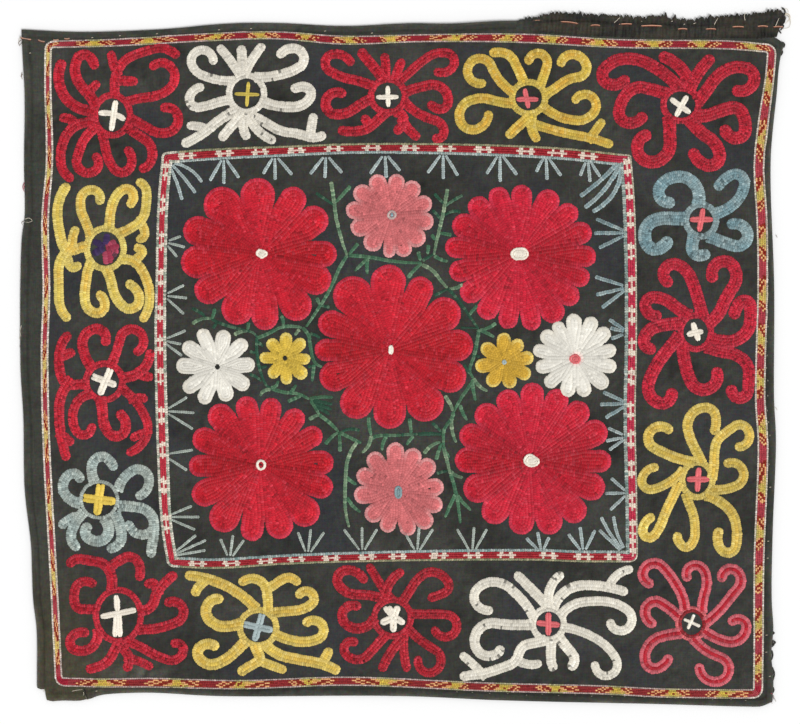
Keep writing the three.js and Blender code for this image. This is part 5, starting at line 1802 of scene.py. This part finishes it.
# ---------------------------------------------------------------- heading strip
def make_strip():
    rows = np.array(STRIP)
    n, m = 400, 22
    s = np.linspace(0, 1, n)
    x = rows[0, 0] + (rows[-1, 0] - rows[0, 0]) * s
    hi, lo = np.interp(x, rows[:, 0], rows[:, 1]), np.interp(x, rows[:, 0], rows[:, 2])
    t = np.concatenate([[0, 0.02, 0.05], np.linspace(0.1, 0.9, m - 6), [0.95, 0.98, 1.0]])
    pleat = field(51, 34, 2.0, 6.5)
    crimp = field(52, 30, 1.6, 4.0)
    slow = field(53, 10, 15, 50)
    X = x[:, None] + 0.5 * slow(x[:, None] * 0 + 30 * t[None], x[:, None]) * 0.6
    Y = lo[:, None] + (hi - lo)[:, None] * t[None]
    start = np.clip((x - x[0]) / 16.0, 0, 1)[:, None] ** 0.7 + 0 * t[None]
    gathers = np.cos(2 * math.pi * X / 2.5 + 2.6 * slow(X, 0 * Y)) * np.clip((0.52 - t) / 0.12, 0, 1)[None]
    rib = (0.75 * pleat(X, Y * 0.22) + 0.4 * crimp(X, Y) + 0.75 * gathers) * (0.25 + 0.75 * start)
    Y = Y + 0.22 * rib * (np.abs(t - 0.5)[None] * 2) ** 3 + 0.65 * (crimp(X, 0 * Y) + 0.6 * pleat(X, 0 * Y)) * np.clip((t - 0.8) / 0.2, 0, 1)[None] * start
    depth = dist_in(X.ravel(), Y.ravel(), OUTLINE).reshape(X.shape)
    on = 0.3 + lift(X, Y) + np.where(depth > 0, hem(np.maximum(depth, 0), X, Y), 0)
    low = np.where(depth > -0.8, np.where(depth > 0, on + 0.03, 0.35 + (depth + 0.8) / 0.8 * 1.0), 0.35)
    low = np.where(depth > 0, low, np.maximum(0.35, 0.35 + 0 * low))
    fold = np.interp(t, [0, 0.04, 0.5, 0.62, 0.7, 0.97, 1.0], [0.55, 0.9, 1.0, 1.05, 1.45, 1.4, 0.6])[None]
    thick = fold * (0.12 + 0.88 * start) + 0.24 * rib * np.interp(t, [0, 0.08, 0.92, 1], [0.3, 1, 1, 0.3])[None]
    roof = 1.25 + 0.10 * slow(X, Y)
    top = np.where(depth > 0, low, np.maximum(low, roof)) + thick
    v, q = shell(np.stack([X, Y], -1), top, low, 0.25)
    k = n * m
    c = INK["strip"][None] * (1 + 0.12 * mottle(v[:, 0], v[:, 1] * 3))[:, None]
    rr = np.concatenate([rib.ravel(), rib.ravel(), np.zeros(len(v) - 2 * k)])
    # the pleats' relief is painted in too: raised ribs drawn lighter, hollows darker, as painted light and shade
    c = c * (1 + 0.21 * rr.clip(-1.8, 1.8))[:, None]
    c = mix(c, lin("57503f")[None], (0.25 * (0.5 + 0.5 * slow(v[:, 0], v[:, 1] * 2)).clip(0, 1))[:, None])
    tt = np.concatenate([np.tile(t, n), np.tile(t, n), np.full(len(v) - 2 * k, 0.5)])
    # painted shade: a dark line along the fold at t 0.6 and along the lower edge; above the fold the cloth is drawn a
    # little darker
    c = c * (1 - 0.22 * np.exp(-((tt - 0.60) / 0.05) ** 2) - 0.30 * np.exp(-((tt - 0.0) / 0.08) ** 2) - 0.10 * (tt > 0.62))[:, None]
    c = mix(ground_colour(v[:, 0], v[:, 1]), c, np.clip((v[:, 0] - x[0]) / 14.0, 0, 1)[:, None])
    return add_mesh("heading_strip_cloth", v, q, c[q].reshape(-1, 3))


strip = finish_piece(make_strip(), "heading_strip")
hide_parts("heading_strip")

# ---------------------------------------------------------------- sewing threads
sewn = Threads("sewing_threads")
rng = np.random.default_rng(801)


def strip_roof(x, y):
    """About the height of whatever lies topmost near the upper edge."""
    d = dist_in(np.atleast_1d(x).astype(float), np.atleast_1d(y).astype(float), OUTLINE)
    return (cloth_top(np.atleast_1d(x), np.atleast_1d(y)) * (d > 0) + 1.3 * (d <= 0)) + 1.15 * (np.atleast_1d(x) > 84)


for r in words(BASTING):
    a, b = np.array([float(v) for v in r[:2]]), np.array([float(v) for v in r[2:4]])
    s = np.linspace(0, 1, 12)
    p = a + (b - a) * s[:, None]
    p[:, 1] += 0.4 * np.sin(s * math.pi) * (1 if a[0] > 0 else -1)
    z = strip_roof(p[:, 0], p[:, 1]).mean() + 0.55 * np.sin(s * math.pi) ** 0.6 - 0.1
    sewn.add(np.column_stack([p, z]), 0.30 if a[0] > 0 else 0.46, mix(INK["basting"], lin("a98c7c"), 0.0 if a[0] > 0 else 0.6) * rng.uniform(0.75, 1.05))
    # a dark brown thread just below each basting stitch, as its painted shadow
    shade = p + [0, -0.6]
    sewn.add(np.column_stack([shade, z - 0.25]), 0.32, lin("6a3d2c"))
for r in words(LOOSE):
    p = np.array([float(v) for v in r]).reshape(-1, 2)
    p = catmull(p, 0.6) if len(p) > 2 else even(p, 0.4)
    z = 2.6 + 0.8 * np.sin(np.linspace(0, math.pi, len(p)))
    sewn.add(np.column_stack([p, z]), 0.27, lin("d8cdbb"), taper=True)
for r in words(FRAYS):
    p = np.array([float(v) for v in r[1:]]).reshape(-1, 2)
    p = catmull(p, 0.5) if len(p) > 2 else even(p, 0.4)
    d = dist_in(p[:, 0], p[:, 1], OUTLINE)
    z = np.where(d > 0, cloth_top(p[:, 0], p[:, 1]) + 0.1, 0.55 + np.clip(1 + d, 0, 1))
    z = np.convolve(np.pad(z, 2, mode="edge"), np.full(5, 0.2), "valid")
    ink, radius = {"p": ("d2c9b6", 0.22), "n": ("6b5140", 0.24), "r": ("a8384a", 0.3), "k": ("1d1c19", 0.5), "d": ("34322c", 0.75)}[r[0]]
    if r[0] == "d":
        z = np.minimum(z, 1.4)
    sewn.add(np.column_stack([p, z]), radius, lin(ink), taper=r[0] != "k", sides=5)
for r in words(DOTS):
    x, y = float(r[0]), float(r[1])
    s = np.linspace(-1, 1, 7)
    z = cloth_top(x + s, y + 0 * s) + 0.35 * (1 - s ** 2) - 0.05
    sewn.add(np.column_stack([x + 0.75 * s, y + 0.15 * s, z]), 0.30, lin("b8ae9a"))
# hem stitches down the right side and along the bottom, as small pale dots
right = side(CLOTH, "right", 1.0)
for yy in np.arange(178, -85, -10.3):
    rng_x = rng.uniform(-0.6, 0.6)
    k = int(np.argmin(np.abs(right[:, 1] - yy)))
    x, y = right[k, 0] - 4.9 + rng_x, yy + rng.uniform(-1.5, 1.5)
    s = np.linspace(-1, 1, 6)
    sewn.add(np.column_stack([x + 0 * s, y + 0.7 * s, cloth_top(x + 0 * s, y + 0.7 * s) + 0.22 * (1 - s ** 2)]), 0.26, lin("a39d8e"))
bottom = side(CLOTH, "bottom", 1.0)
for xx in np.arange(40, 265, 12.7):
    k = int(np.argmin(np.abs(bottom[:, 0] - xx)))
    x, y = xx + rng.uniform(-2, 2), bottom[k, 1] + 4.9 + rng.uniform(-0.5, 0.5)
    s = np.linspace(-1, 1, 6)
    sewn.add(np.column_stack([x + 0.6 * s, y + 0 * s, cloth_top(x + 0.6 * s, y + 0 * s) + 0.22 * (1 - s ** 2)]), 0.22, lin("8d897c"))
finish_piece(sewn.build(), "sewing_thread")

# ---------------------------------------------------------------- the back of the stitches
def make_backs():
    vs, qs, cs, n = [], [], [], 0
    for p, ink in BACKS:
        if len(p) < 2:
            continue
        t = tangents(p)
        nrm = np.stack([-t[:, 1], t[:, 0]], 1)
        k = len(p)
        low = 0.3 + lift(p[:, 0], p[:, 1])
        ring = np.stack([
            np.column_stack([p - nrm * 0.32, low + 0.05]), np.column_stack([p, low - 0.24]), np.column_stack([p + nrm * 0.32, low + 0.05])], 1)
        ring[[0, -1], 1, 2] += 0.26
        vs.append(ring.reshape(-1, 3))
        i, j = np.meshgrid(np.arange(k - 1), np.arange(2), indexing="ij")
        qs.append((np.stack([i * 3 + j, i * 3 + j + 1, (i + 1) * 3 + j + 1, (i + 1) * 3 + j], -1).reshape(-1, 4)) + n)
        cs.append(np.repeat(mix(ink, lin("b9ad9a"), 0.15) * rng.normal(1, 0.08, (len(qs[-1]), 1)).clip(0.8, 1.2), 4, 0))
        n += 3 * k
    v, q, c = np.vstack(vs), np.vstack(qs), np.vstack(cs)
    uv = np.stack([np.repeat(np.arange(len(q)), 4) * 1.5, np.tile([0.0, 0.3, 0.3, 0.0], len(q))], 1)
    return add_mesh("back_stitches", v, q, c, uv)


backs = finish_piece(make_backs(), "sewing_thread")

# ---------------------------------------------------------------- floor
fs = 1.6
floor_mesh = bpy.data.meshes.new("floor")
floor_mesh.from_pydata([(-fs, -fs, -0.0003), (fs, -fs, -0.0003), (fs, fs, -0.0003), (-fs, fs, -0.0003)], [], [(0, 1, 2, 3)])
floor = bpy.data.objects.new("floor", floor_mesh)
scene.collection.objects.link(floor)
fm, fnt, fb = nodes_of("floor_paper")
fb.inputs["Base Color"].default_value = (0.93, 0.93, 0.93, 1)
fb.inputs["Roughness"].default_value = 1.0
fb.inputs["Specular IOR Level"].default_value = 0.0
floor_mesh.materials.append(fm)

# ---------------------------------------------------------------- counts
tri = {o.name: sum(len(p.vertices) - 2 for p in o.data.polygons) for o in PIECES}
print("stitches", total_stitches, "triangles", sum(tri.values()), "largest", max(tri.items(), key=lambda kv: kv[1]), "pieces", len(PIECES))
